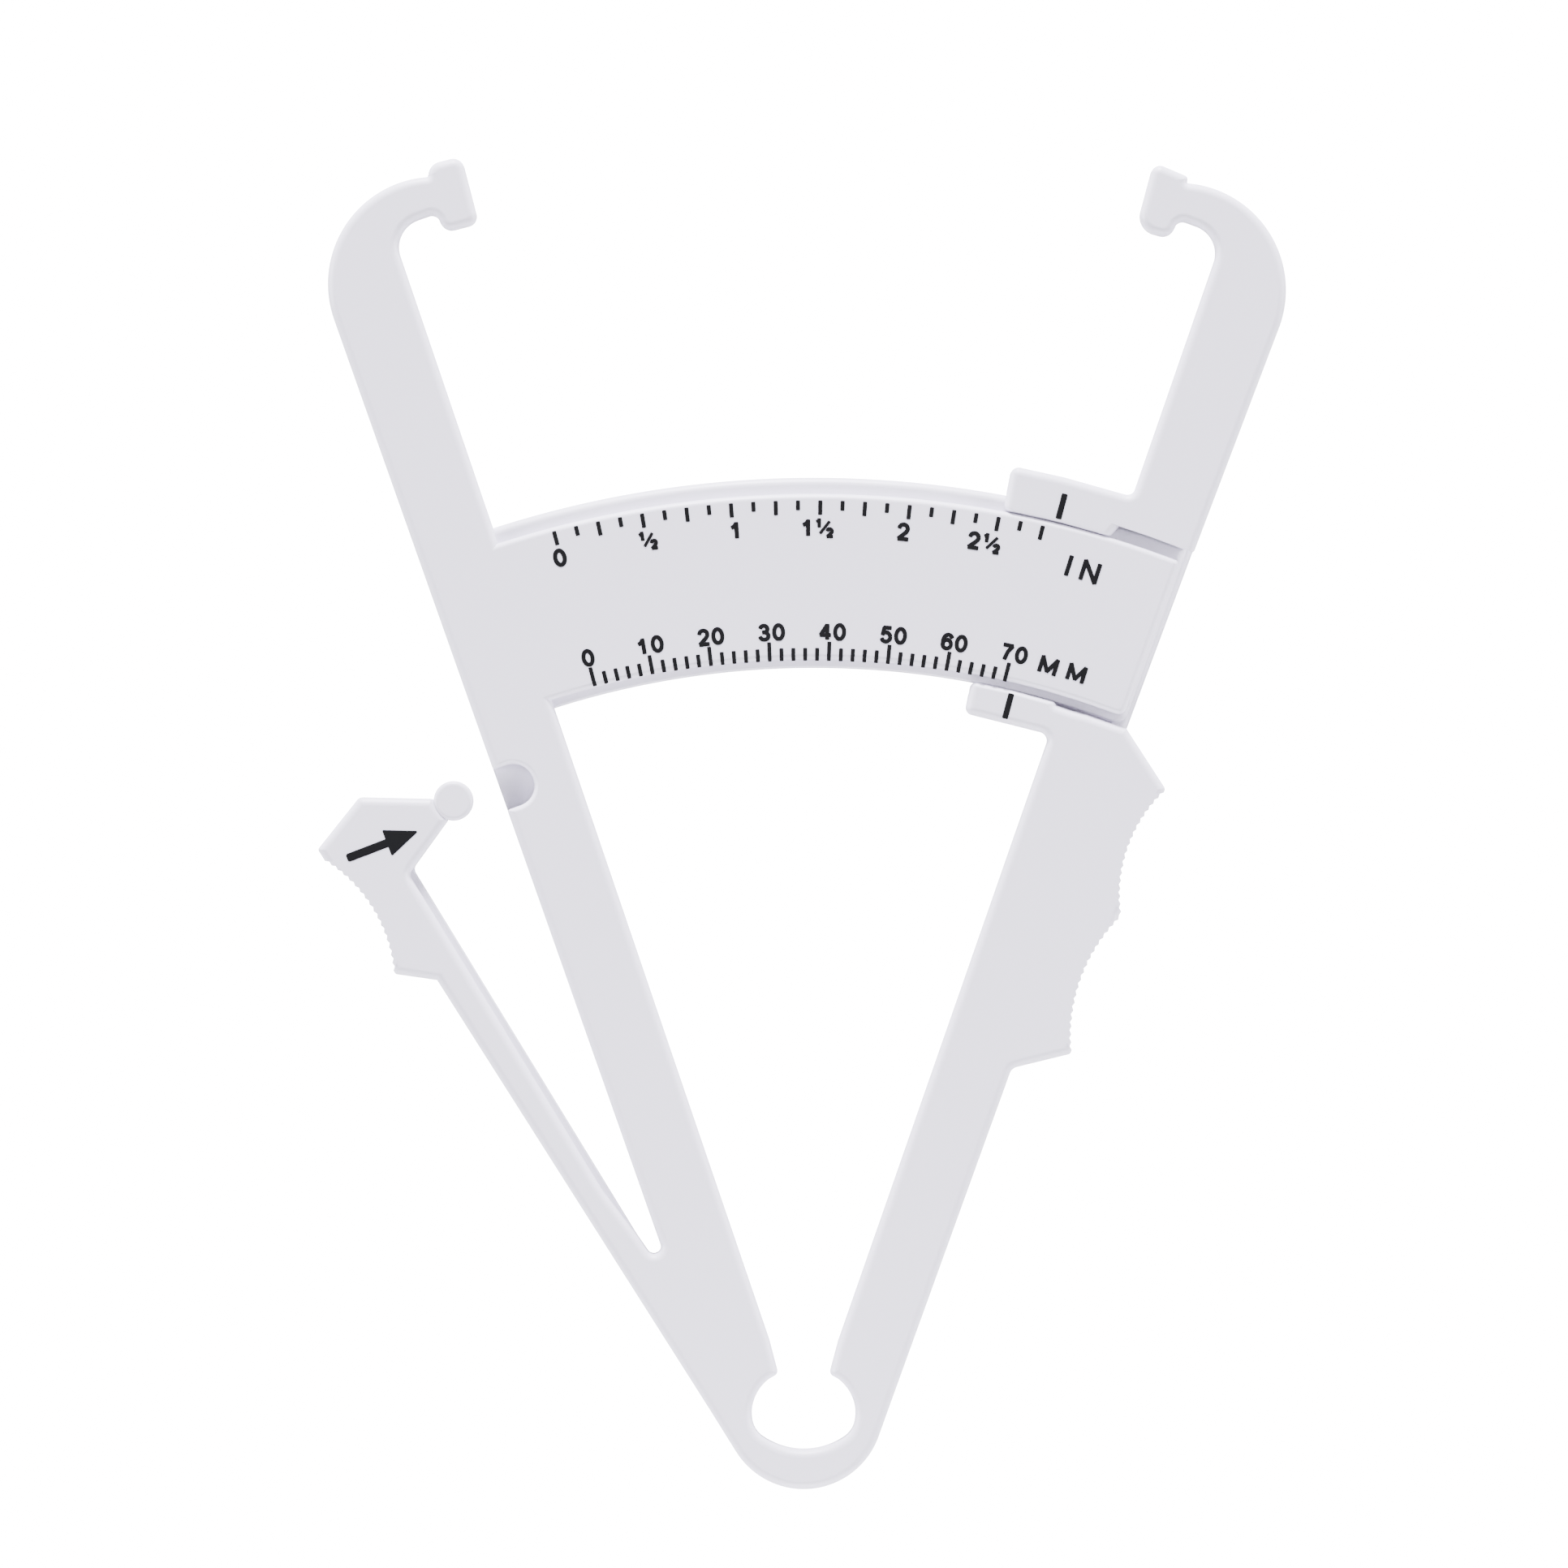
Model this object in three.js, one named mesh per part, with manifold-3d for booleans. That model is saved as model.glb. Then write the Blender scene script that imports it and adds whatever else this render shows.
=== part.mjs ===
// A pocket skinfold caliper, moulded in one flexible plastic.
// Two hooked arms grow out of a sprung C-shaped bow. A curved scale blade stands out of the left
// arm and slides through a channel in the right arm, under two small tabs that carry the reading
// lines. A thumb lever hangs on its own thin beam beside the left arm, and its round stud snaps
// into a dimple in that arm when the right pressure is reached.
// Millimetres and degrees. The caliper lies on its back with the scale up: +Y runs from the bow
// to the jaws, +X to the index arm, +Z out of the scale. The origin is the point that the bow
// bends about, on the back face, and the pose is the moulded one, with the jaws wide open.
//
// Each half is drawn in its own frame, [u, v]: v runs along the arm from the bending centre and
// u points away from the other arm. Closing the caliper turns the right half by twice
// halfOpening. The bow bends over its whole length on the real tool, and so does the lever's
// beam, so each is split here at its bending centre by a round knuckle in a round socket.

import * as THREE from 'three';
import { mergeVertices } from 'three/addons/utils/BufferGeometryUtils.js';
import Module from 'manifold-3d';

const wasm = await Module();
wasm.setup();

// Whole moulding
const thickness = 5;
const edgeRound = 0.8;
const seam = 0.3;
const halfOpening = 14.8;
const armLean = 4.7;
const jawRadius = 138.9;

// Arm edges, as distances from the line through the bending centre, at the bow and at the jaw
const armOuterLow = 6.3;
const armOuterHigh = 6.65;
const armInnerLow = 1;
const armInnerHigh = 2.15;

// Hooked jaws and their pads
const hookOuterRadius = 11.3;
const hookInnerRadius = 3;
const hookLength = 20;
const neckWidth = 4.3;
const neckRise = 1;
const padLength = 7.3;
const padDepth = 3.6;
const padCorner = 1.1;

// Sprung bow, and the lips that close its round hole
const bowCentreHeight = 6.32;
const bowHoleRadius = 5.15;
const bowFloorRadius = 7.66;
const bowLength = 13.5;
const lipClearance = 0.2;
const lipRound = 1;
const knuckleClearance = 0.3;

// Scale blade: a tongue with a raised scale face, both on arcs round a centre near the bow
const bladeShift = 0.4;
const bladeDrop = 5.5;
const bladeInnerRadius = 89.75;
const bladeWidth = 20.25;
const upperLedge = 1.75;
const lowerLedge = 1.1;
const bladeTipInset = 1.75;

// Channel that the blade slides in, and the tabs that hold it there
const channelFloor = 1.6;
const tabLip = 1.1;
const slideClearance = 0.3;
const upperWallClearance = 0.35;
const lowerWallClearance = 0.95;
const upperLipClearance = 0.25;
const lowerLipClearance = 0.75;
const upperRail = 2.95;
const lowerRail = 2.05;
const tabStopClearance = 0.8;

// Finger grip on the right arm: two scallops between two ramps
const gripReach = 5.25;
const gripUpperRamp = 4.4;
const gripUpperScallop = 14.2;
const gripLowerScallop = 15.5;
const gripLowerRamp = 3.5;
const scallopDepth = 1.6;
const toothPitch = 1.05;
const toothDepth = 0.35;

// Thumb lever
const leverSplay = 12.7;
const leverRootWidth = 3.55;
const leverRootDrop = 11.2;
const leverHeadWidth = 3.95;
const leverFlexReach = 33.5;
const leverBeamLength = 25.3;
const slotRadius = 0.75;
const thumbFootRise = 2.85;
const thumbFootReach = 3.75;
const thumbScallop = 14.5;
const thumbHeelRise = 1.2;
const thumbHeelInset = 0.6;
const thumbTopReach = 2.9;
const thumbTopRise = 2.15;
const noseReach = 9.3;
const noseHeight = 16.5;
const noseFoot = 13.9;
const throatHeight = 11.3;
const studRadius = 2.1;
const studReach = 11.1;
const studHeight = 15.1;
const studDepth = 2.6;
const dimpleSideClearance = 0.5;
const dimpleFloorClearance = 0.4;
const seatDepth = 1.45;

// Printing
const inkThickness = 0.1;
const indexLineLength = 2.8;
const indexLineWidth = 0.7;
const indexLineInset = 0.15;
const arrowLength = 8.2;
const arrowHeadLength = 3.8;
const arrowHeadWidth = 3.1;
const arrowShaftWidth = 1.15;
const arrowTurn = 11;
const arrowReach = 1.6;
const arrowHeight = 15.9;

// How finely curves are cut: the most that a flat may leave its arc, and steps round an edge
const arcTolerance = 0.02;
const roundSteps = 2;

// Extent of the cutting regions, past everything that they cut, and of the blade's arcs
const beyond = 60;
const arcReach = 30;

const scaleSide = -1;
const indexSide = 1;
const restAngle = halfOpening + armLean;
const rad = THREE.MathUtils.degToRad;
const deg = THREE.MathUtils.radToDeg;
const sin = (degrees) => Math.sin(rad(degrees));
const cos = (degrees) => Math.cos(rad(degrees));
const tan = (degrees) => Math.tan(rad(degrees));

const plastic = { color: 0xdedbe1, roughness: 0.42, metalness: 0 };
const ink = { color: 0x161518, roughness: 0.6, metalness: 0 };

// Solids

function toSolid(geometry) {
  geometry.deleteAttribute('normal');
  geometry.deleteAttribute('uv');
  const merged = mergeVertices(geometry);
  const vertProperties = new Float32Array(merged.attributes.position.array);
  const triVerts = new Uint32Array(merged.index.array);
  return new wasm.Manifold(new wasm.Mesh({ numProp: 3, vertProperties, triVerts }));
}

/** The solid between two heights over an outline of [x, y] points, with its long edges rounded. */
function prism(outline, low, high, round = 0) {
  const shape = new THREE.Shape(outline.map(([x, y]) => new THREE.Vector2(x, y)));
  const geometry = new THREE.ExtrudeGeometry(shape, {
    depth: high - low - 2 * round,
    bevelEnabled: round > 0,
    bevelThickness: round,
    bevelSize: round,
    bevelOffset: -round,
    bevelSegments: roundSteps,
  });
  geometry.translate(0, 0, low + round);
  return toSolid(geometry);
}

/** A cutter that goes right through the moulding. */
const cutter = (outline) => prism(outline, -thickness, 2 * thickness);

function makeMesh(name, solid, finish) {
  const { vertProperties, triVerts } = solid.getMesh();
  const geometry = new THREE.BufferGeometry();
  geometry.setAttribute('position', new THREE.BufferAttribute(new Float32Array(vertProperties), 3));
  geometry.setIndex(new THREE.BufferAttribute(new Uint32Array(triVerts), 1));
  geometry.computeVertexNormals();
  const mesh = new THREE.Mesh(geometry, new THREE.MeshStandardMaterial({ ...finish, flatShading: true }));
  mesh.name = name;
  return mesh;
}

// Plane geometry

const turn = ([x, y], degrees) => [x * cos(degrees) - y * sin(degrees), x * sin(degrees) + y * cos(degrees)];

/** A point of the whole caliper as moulded, in the frame of one half. */
const intoHalf = (side, point) => turn(point, side * restAngle);

/** A point [u, v] of one half, in the whole caliper as moulded. */
const outOfHalf = (side, [u, v]) => turn([side * u, v], -side * restAngle);

/** [u, v] points of a half as the x and y of its group. */
const onSide = (side, points) => points.map(([u, v]) => [side * u, v]);

/** Points along an arc from one angle to another, both ends included. */
function arc([x, y], radius, from, to) {
  const largestStep = 2 * deg(Math.acos(1 - arcTolerance / radius));
  const steps = Math.ceil(Math.abs(to - from) / largestStep);
  return Array.from({ length: steps + 1 }, (_, i) => {
    const angle = from + ((to - from) * i) / steps;
    return [x + radius * cos(angle), y + radius * sin(angle)];
  });
}

/** A ring sector of the blade's arcs, in the frame of one half. */
function sector(side, innerRadius, outerRadius) {
  const centre = [bladeShift, -bladeDrop];
  const outer = arc(centre, outerRadius, 90 + arcReach, 90 - arcReach);
  const inner = arc(centre, innerRadius, 90 - arcReach, 90 + arcReach);
  return [...outer, ...inner].map((point) => intoHalf(side, point));
}

/** A polygon with each corner rounded by a radius: corners are [x, y, radius]. */
function rounded(corners) {
  const at = (i) => new THREE.Vector2(...corners.at(i % corners.length).slice(0, 2));
  return corners.flatMap(([x, y, radius = 0], i) => {
    if (radius === 0) return [[x, y]];
    const corner = at(i);
    const before = at(i - 1).sub(corner).normalize();
    const after = at(i + 1).sub(corner).normalize();
    const halfAngle = deg(before.angleTo(after)) / 2;
    const centre = before.clone().add(after).normalize().multiplyScalar(radius / sin(halfAngle)).add(corner);
    const start = before.multiplyScalar(radius / tan(halfAngle)).add(corner).sub(centre);
    const end = after.multiplyScalar(radius / tan(halfAngle)).add(corner).sub(centre);
    const from = deg(start.angle());
    const sweep = THREE.MathUtils.euclideanModulo(deg(end.angle()) - from + 180, 360) - 180;
    return arc([centre.x, centre.y], radius, from, from + sweep);
  });
}

// Frame of a half

const armOuterAt = (v) => armOuterLow + ((armOuterHigh - armOuterLow) * v) / jawRadius;
const armInnerAt = (v) => armInnerLow + ((armInnerHigh - armInnerLow) * v) / jawRadius;

// The pad faces meet on a plane through the bending centre that leans in from the arm.
const alongPad = [-sin(armLean), cos(armLean)];
const outOfPad = [cos(armLean), sin(armLean)];
const fromPadPlane = (out, along) => [
  outOfPad[0] * out + alongPad[0] * along,
  outOfPad[1] * out + alongPad[1] * along,
];

const bowCentre = [-bowCentreHeight * sin(restAngle), bowCentreHeight * cos(restAngle)];
const bowOuterRadius = armOuterLow + bowCentreHeight * sin(restAngle);
const bandHalf = bowOuterRadius - bowCentreHeight;
const downAngle = restAngle - 90;

/** Outer side of the bow, from the bottom of the tool to where a straight edge leaves it. */
const bowOutside = (leavingAngle) => arc(bowCentre, bowOuterRadius, downAngle, leavingAngle);

/** Inner side of the bow: down the lip, round the hole and along its flatter floor. */
function bowInside() {
  const slope = (armInnerHigh - armInnerLow) / jawRadius;
  const lipTop = (armInnerLow + lipClearance * (outOfPad[0] + slope * outOfPad[1]))
    / (sin(armLean) - slope * cos(armLean));
  const holeOut = lipClearance + bowCentreHeight * sin(halfOpening);
  const lipFoot = bowCentreHeight * cos(halfOpening) + Math.sqrt(bowHoleRadius ** 2 - holeOut ** 2);
  const lipAngle = deg(Math.acos(holeOut / bowHoleRadius)) + armLean;
  const floorHeight = bandHalf + bowFloorRadius;
  const meetHeight = (floorHeight ** 2 - bowCentreHeight ** 2 - bowFloorRadius ** 2 + bowHoleRadius ** 2)
    / (2 * (floorHeight - bowCentreHeight));
  const holeEnd = deg(Math.asin((meetHeight - bowCentreHeight) / bowHoleRadius));
  const floorStart = deg(Math.asin((meetHeight - floorHeight) / bowFloorRadius));
  const floorCentre = [-floorHeight * sin(restAngle), floorHeight * cos(restAngle)];
  const hole = arc(bowCentre, bowHoleRadius, lipAngle, holeEnd + restAngle);
  const lip = rounded([
    [...fromPadPlane(lipClearance, lipTop)],
    [...fromPadPlane(lipClearance, lipFoot), lipRound],
    hole[2],
  ]);
  const floor = arc(floorCentre, bowFloorRadius, floorStart + restAngle, downAngle);
  return [...lip, ...hole.slice(3), ...floor.slice(1)];
}

/** Outer edge of the hooked jaw, over its top to inside the pad. */
const neckTop = jawRadius * cos(armLean) + neckRise + neckWidth / 2;
const neckFoot = neckTop - neckWidth;
const hookFoot = neckTop - hookLength;
const padMiddle = fromPadPlane(padDepth / 2, jawRadius);
function hook() {
  const outerCentre = [armOuterHigh - hookOuterRadius, neckTop - hookOuterRadius];
  const innerCentre = [-armInnerHigh - hookInnerRadius, neckFoot - hookInnerRadius];
  const outerEnd = 90 + deg(Math.asin((outerCentre[0] - padMiddle[0]) / hookOuterRadius));
  return [
    ...arc(outerCentre, hookOuterRadius, 0, outerEnd),
    [padMiddle[0], neckFoot],
    ...arc(innerCentre, hookInnerRadius, 90, 0),
  ];
}

/** The part of a half between two heights along its arm. */
const between = (low, high) => cutter([[-beyond, low], [beyond, low], [beyond, high], [-beyond, high]]);

/** The region on the outer side of a half's arm, from a gap beyond its outer edge. */
const outsideArm = (side, gap) => cutter(onSide(side, [
  [armOuterAt(0) + gap, -beyond],
  [beyond, -beyond],
  [beyond, 3 * beyond],
  [armOuterAt(3 * beyond) + gap, 3 * beyond],
]));

/** Fills the rounded inner edge of an arm where something stands out of it flush. */
function flushRoot(side, innerRadius, outerRadius, low) {
  const strip = cutter(onSide(side, [
    [-armInnerAt(0), 0],
    [2 * edgeRound - armInnerAt(0), 0],
    [2 * edgeRound - armInnerAt(jawRadius), jawRadius],
    [-armInnerAt(jawRadius), jawRadius],
  ]));
  return prism(sector(side, innerRadius, outerRadius), low, thickness).intersect(strip);
}

// Radii of the blade and of the channel round it
const bladeOuterRadius = bladeInnerRadius + bladeWidth;
const faceOuter = bladeOuterRadius - upperLedge;
const faceInner = bladeInnerRadius + lowerLedge;
const upperWall = bladeOuterRadius + upperWallClearance;
const lowerWall = bladeInnerRadius - lowerWallClearance;
const upperLipEdge = faceOuter + upperLipClearance;
const lowerLipEdge = faceInner - lowerLipClearance;
const upperTabTop = upperWall + upperRail;
const lowerTabFoot = lowerWall - lowerRail;
const tongueBack = channelFloor + slideClearance;
const tabBack = thickness - tabLip;
const tongueFront = tabBack - slideClearance;

/** Where an arc of the channel crosses the outer edge of the right arm, as a height along the arm. */
function heightOnOuterEdge(radius) {
  const [x, y] = intoHalf(indexSide, [bladeShift, -bladeDrop]);
  return y + Math.sqrt(radius ** 2 - (armOuterAt(jawRadius) - x) ** 2);
}

/** The circle that a scallop of the grips is a shallow arc of, and half its opening in degrees. */
function scallopCircle(out, foot, length) {
  const radius = (length ** 2 / 4 + scallopDepth ** 2) / (2 * scallopDepth);
  const centre = [out - scallopDepth + radius, foot + length / 2];
  return { centre, radius, reach: deg(Math.asin(length / 2 / radius)) };
}

/** The edge of a scallop, on a chord that runs up in v, hollowed towards lower u. */
function scallop(out, foot, length) {
  const { centre, radius, reach } = scallopCircle(out, foot, length);
  return arc(centre, radius, 180 + reach, 180 - reach);
}

/** The saw-toothed comb that cuts the teeth of one scallop, in the frame the scallop is drawn in. */
function comb(out, foot, length) {
  const { centre, radius, reach } = scallopCircle(out, foot, length);
  const teeth = Math.floor(rad(2 * reach) * radius / toothPitch);
  const edge = Array.from({ length: 2 * teeth + 1 }, (_, i) => {
    const angle = 180 - reach * (i / teeth - 1);
    const depth = i % 2 ? toothDepth : 0;
    return [centre[0] + (radius + depth) * cos(angle), centre[1] + (radius + depth) * sin(angle)];
  });
  return [...edge.reverse(), [out + scallopDepth, foot], [out + scallopDepth, foot + length]];
}

// Left half: the scale arm

const alongBeam = [sin(leverSplay), cos(leverSplay)];
const outOfBeam = [cos(leverSplay), -sin(leverSplay)];

/** A point of the lever: out of its outer edge, and along it from the bending centre of its beam. */
const onLever = (out, along) => [0, 1].map((i) => bowCentre[i]
  + outOfBeam[i] * (bowOuterRadius + out) + alongBeam[i] * (leverFlexReach + along));

const leverGrowth = (leverHeadWidth - leverRootWidth) / (leverBeamLength + leverRootDrop);
const leverWidthAt = (along) => leverRootWidth + leverGrowth * (along + leverRootDrop);
const flexWidth = leverWidthAt(0);
const flexCentre = onLever(-flexWidth / 2, 0);
const flexSocket = flexWidth / 2 + knuckleClearance;

/** The slot between the arm and the lever's beam: its round foot touches both edges. */
function slotFoot() {
  const u = armOuterAt(leverFlexReach) + slotRadius;
  const out = bowOuterRadius - leverRootWidth - slotRadius;
  const v = bowCentre[1] + ((u - bowCentre[0]) * cos(leverSplay) - out) / sin(leverSplay);
  return arc([u, v], slotRadius, -leverSplay, -180);
}

const studAt = onLever(-studReach, leverBeamLength + studHeight);
const studArm = Math.hypot(studAt[0] - flexCentre[0], studAt[1] - flexCentre[1]);
const seatAt = armOuterAt(flexCentre[1] + studArm) - seatDepth;
const seatAngle = deg(Math.asin((flexCentre[0] - seatAt) / studArm));
const dimpleAt = [seatAt, flexCentre[1] + studArm * cos(seatAngle)];
const dimpleRadius = studRadius + dimpleSideClearance;
const studBack = thickness - studDepth;

function scaleHalfBlank() {
  const beamEnd = flexWidth / 4;
  const outline = [
    ...bowOutside(-leverSplay),
    onLever(0, beamEnd),
    onLever(-leverWidthAt(beamEnd), beamEnd),
    ...slotFoot(),
    ...hook(),
    ...bowInside(),
    ...arc([0, 0], bandHalf, 90 + restAngle, 270 + restAngle).slice(1, -1),
  ];
  const beamSocket = cutter(onSide(scaleSide, arc(flexCentre, flexSocket, 0, 360).slice(1)));
  return prism(onSide(scaleSide, outline), 0, thickness, edgeRound).subtract(beamSocket);
}

function bladeSolid() {
  const armEdge = (v) => intoHalf(scaleSide, outOfHalf(scaleSide, [-armInnerAt(v) - seam, v]));
  const tipEdge = (v) => intoHalf(scaleSide, outOfHalf(indexSide, [armOuterAt(v) - bladeTipInset, v]));
  const field = cutter([armEdge(0), tipEdge(0), tipEdge(3 * beyond), armEdge(3 * beyond)]);
  const tongue = prism(sector(scaleSide, bladeInnerRadius, bladeOuterRadius), tongueBack, tongueFront);
  const face = prism(sector(scaleSide, faceInner, faceOuter), tongueBack, thickness);
  return tongue.add(face).intersect(field);
}

function padSolid(side) {
  const near = jawRadius - padLength / 2;
  const far = jawRadius + padLength / 2;
  const corners = [[0, near], [padDepth, near], [padDepth, far], [0, far]];
  const outline = rounded(corners.map(([out, along]) => [...fromPadPlane(out, along), padCorner]));
  return prism(onSide(side, outline), 0, thickness, edgeRound);
}

/** The region of a hooked jaw: from its foot on the arm to just short of the back of its pad. */
const jawRegion = (side) => cutter(onSide(side, [
  [beyond, hookFoot + seam / 2],
  [beyond, 3 * beyond],
  fromPadPlane(padDepth + seam, 3 * beyond),
  fromPadPlane(padDepth + seam, hookFoot),
  [-armInnerHigh, hookFoot + seam / 2],
]));

function scaleHalfSolids() {
  const blank = scaleHalfBlank();
  const upper = blank.intersect(between(bowLength + seam / 2, 3 * beyond));
  const dimpleOutline = onSide(scaleSide, arc(dimpleAt, dimpleRadius, 0, 360).slice(1));
  const dimple = prism(dimpleOutline, studBack - dimpleFloorClearance, 2 * thickness);
  const arm = upper.subtract(outsideArm(scaleSide, seam / 2))
    .intersect(between(0, hookFoot - seam / 2))
    .add(flushRoot(scaleSide, faceInner, faceOuter, tongueBack))
    .subtract(dimple);
  return {
    left_bow: blank.intersect(between(-beyond, bowLength - seam / 2)),
    lever_root: upper.intersect(outsideArm(scaleSide, seam * 3 / 2)),
    left_arm: arm,
    left_jaw: upper.intersect(jawRegion(scaleSide)),
    left_jaw_pad: padSolid(scaleSide),
    scale_blade: bladeSolid(),
  };
}

// Thumb lever, in the frame of the left half

const thumbScallopFoot = leverBeamLength + thumbFootRise;

function leverBlank() {
  const outline = [
    [0, leverBeamLength],
    [thumbFootReach, thumbScallopFoot],
    ...scallop(thumbFootReach, thumbScallopFoot, thumbScallop).slice(1),
    [thumbFootReach - thumbHeelInset, thumbScallopFoot + thumbScallop + thumbHeelRise],
    [-thumbTopReach, thumbScallopFoot + thumbScallop + thumbHeelRise + thumbTopRise],
    [-noseReach, leverBeamLength + noseHeight],
    [-noseReach, leverBeamLength + noseFoot],
    [-leverHeadWidth, leverBeamLength + throatHeight],
    [-flexWidth, 0],
  ].map((point) => onLever(...point));
  const knuckle = arc(flexCentre, flexWidth / 2, 180 - leverSplay, 360 - leverSplay).slice(1);
  const teeth = comb(thumbFootReach, thumbScallopFoot, thumbScallop).map((point) => onLever(...point));
  return prism(onSide(scaleSide, [...outline, ...knuckle]), 0, thickness, edgeRound)
    .subtract(cutter(onSide(scaleSide, teeth)));
}

/** The flat print of an arrow on the thumb pad, pointing at the dimple. */
function arrowOutline() {
  const shaft = arrowShaftWidth / 2;
  const barb = arrowHeadWidth / 2;
  const shaftLength = arrowLength - arrowHeadLength;
  return [[0, -shaft], [shaftLength, -shaft], [shaftLength, -barb], [arrowLength, 0],
    [shaftLength, barb], [shaftLength, shaft], [0, shaft]].map((point) => {
    const [x, y] = turn(point, 180 + arrowTurn);
    return onLever(arrowReach + x, leverBeamLength + arrowHeight + y);
  });
}

function leverSolids() {
  const blank = leverBlank();
  const above = (along) => cutter(onSide(scaleSide, [
    onLever(-beyond, along),
    onLever(beyond, along),
    onLever(beyond, along + beyond),
    onLever(-beyond, along + beyond),
  ]));
  const disc = (radius) => onSide(scaleSide, arc(studAt, radius, 0, 360).slice(1));
  return {
    lever_beam: blank.subtract(above(leverBeamLength - seam / 2)),
    thumb_pad: blank.intersect(above(leverBeamLength + seam / 2)).subtract(cutter(disc(studRadius + seam))),
    click_stud: prism(disc(studRadius), studBack, thickness, edgeRound),
  };
}

const leverPrint = () => ({
  thumb_arrow: prism(onSide(scaleSide, arrowOutline()), thickness, thickness + inkThickness),
});

// Right half: the index arm

const gripTop = heightOnOuterEdge(bladeInnerRadius);
const gripUpperCrest = gripTop - gripUpperRamp;
const gripRidge = gripUpperCrest - gripUpperScallop;
const gripLowerCrest = gripRidge - gripLowerScallop;
const gripFoot = gripLowerCrest - gripLowerRamp;
const gripCrest = armOuterAt(gripRidge) + gripReach;

function indexHalfBlank() {
  const socketRadius = bandHalf + knuckleClearance;
  const pastCentre = 0.8 * Math.sqrt(socketRadius ** 2 - bandHalf ** 2);
  const outline = [
    intoHalf(indexSide, [-pastCentre, -bandHalf]),
    ...bowOutside(0),
    [armOuterAt(gripFoot), gripFoot],
    ...scallop(gripCrest, gripLowerCrest, gripLowerScallop),
    ...scallop(gripCrest, gripRidge, gripUpperScallop).slice(1),
    [armOuterAt(gripTop), gripTop],
    ...hook(),
    ...bowInside(),
    intoHalf(indexSide, [-pastCentre, bandHalf]),
  ];
  return prism(outline, 0, thickness, edgeRound)
    .subtract(cutter(arc([0, 0], socketRadius, 0, 360).slice(1)))
    .subtract(cutter(comb(gripCrest, gripLowerCrest, gripLowerScallop)))
    .subtract(cutter(comb(gripCrest, gripRidge, gripUpperScallop)));
}

/** The line that both tabs end on: it stops just short of the left arm when the jaws meet. */
function tabField() {
  const closing = 2 * halfOpening;
  const stop = (v) => turn(outOfHalf(scaleSide, [-armInnerAt(v) - tabStopClearance, v]), -closing);
  const end = (v) => intoHalf(indexSide, stop(v));
  const root = (v) => [-armInnerAt(v) - seam, v];
  return cutter([end(beyond), root(beyond), root(3 * beyond), end(3 * beyond)]);
}

/** A tab: a rail beside the blade's edge and a thin lip over its ledge. */
function tabSolid(railInner, railOuter, lipInner, lipOuter) {
  const rail = prism(sector(indexSide, railInner, railOuter), 0, thickness);
  const lip = prism(sector(indexSide, lipInner, lipOuter), tabBack, thickness);
  return rail.add(lip).intersect(tabField());
}

/** A reading line: it lies on the plane of the pad faces, so that it meets zero as they meet. */
function indexLine(along) {
  const half = indexLineWidth / 2;
  const outline = [
    fromPadPlane(-half, along),
    fromPadPlane(half, along),
    fromPadPlane(half, along + indexLineLength),
    fromPadPlane(-half, along + indexLineLength),
  ];
  return prism(outline, thickness, thickness + inkThickness);
}

/** How far along the plane of the pad faces an arc of the blade lies from the bending centre. */
function alongPadPlane(radius) {
  const x = bladeShift * cos(halfOpening) + bladeDrop * sin(halfOpening);
  const y = bladeShift * sin(halfOpening) - bladeDrop * cos(halfOpening);
  return y + Math.sqrt(radius ** 2 - x ** 2);
}

function indexHalfSolids() {
  const blank = indexHalfBlank()
    .add(flushRoot(indexSide, upperWall, upperTabTop, 0))
    .add(flushRoot(indexSide, lowerTabFoot, lowerWall, 0));
  const channel = cutter(sector(indexSide, lowerWall, upperWall));
  const plate = prism(sector(indexSide, lowerWall + seam, upperWall - seam), 0, channelFloor);
  const arm = blank.subtract(outsideArm(indexSide, seam / 2)).subtract(channel);
  const channelMiddle = (upperWall + lowerWall) / 2 - bladeDrop;
  return {
    right_bow: blank.intersect(between(-beyond, bowLength - seam / 2)),
    lower_right_arm: arm.intersect(between(bowLength + seam / 2, channelMiddle)),
    finger_grip: blank.intersect(outsideArm(indexSide, seam * 3 / 2))
      .intersect(between(gripFoot, gripTop))
      .subtract(channel),
    channel_plate: blank.intersect(plate).subtract(outsideArm(indexSide, 0)),
    upper_right_arm: arm.intersect(between(channelMiddle, hookFoot - seam / 2)),
    right_jaw: blank.intersect(jawRegion(indexSide)),
    right_jaw_pad: padSolid(indexSide),
    upper_index_tab: tabSolid(upperWall, upperTabTop, upperLipEdge, upperWall + seam),
    lower_index_tab: tabSolid(lowerTabFoot, lowerWall, lowerWall - seam, lowerLipEdge),
  };
}

const indexPrint = () => ({
  upper_index_line: indexLine(alongPadPlane(upperLipEdge) + indexLineInset),
  lower_index_line: indexLine(alongPadPlane(lowerLipEdge) - indexLineInset - indexLineLength),
});

// The whole caliper, with each half turned out to its moulded place

const meshes = (solids, finish) => Object.entries(solids)
  .map(([name, solid]) => makeMesh(name, solid, finish));

const lever = new THREE.Group();
lever.add(...meshes(leverSolids(), plastic), ...meshes(leverPrint(), ink));

const scaleHalf = new THREE.Group();
scaleHalf.rotation.z = rad(restAngle);
scaleHalf.add(...meshes(scaleHalfSolids(), plastic), lever);

const indexHalf = new THREE.Group();
indexHalf.rotation.z = -rad(restAngle);
indexHalf.add(...meshes(indexHalfSolids(), plastic), ...meshes(indexPrint(), ink));

const caliper = new THREE.Group();
caliper.add(scaleHalf, indexHalf);

export default caliper;
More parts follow.
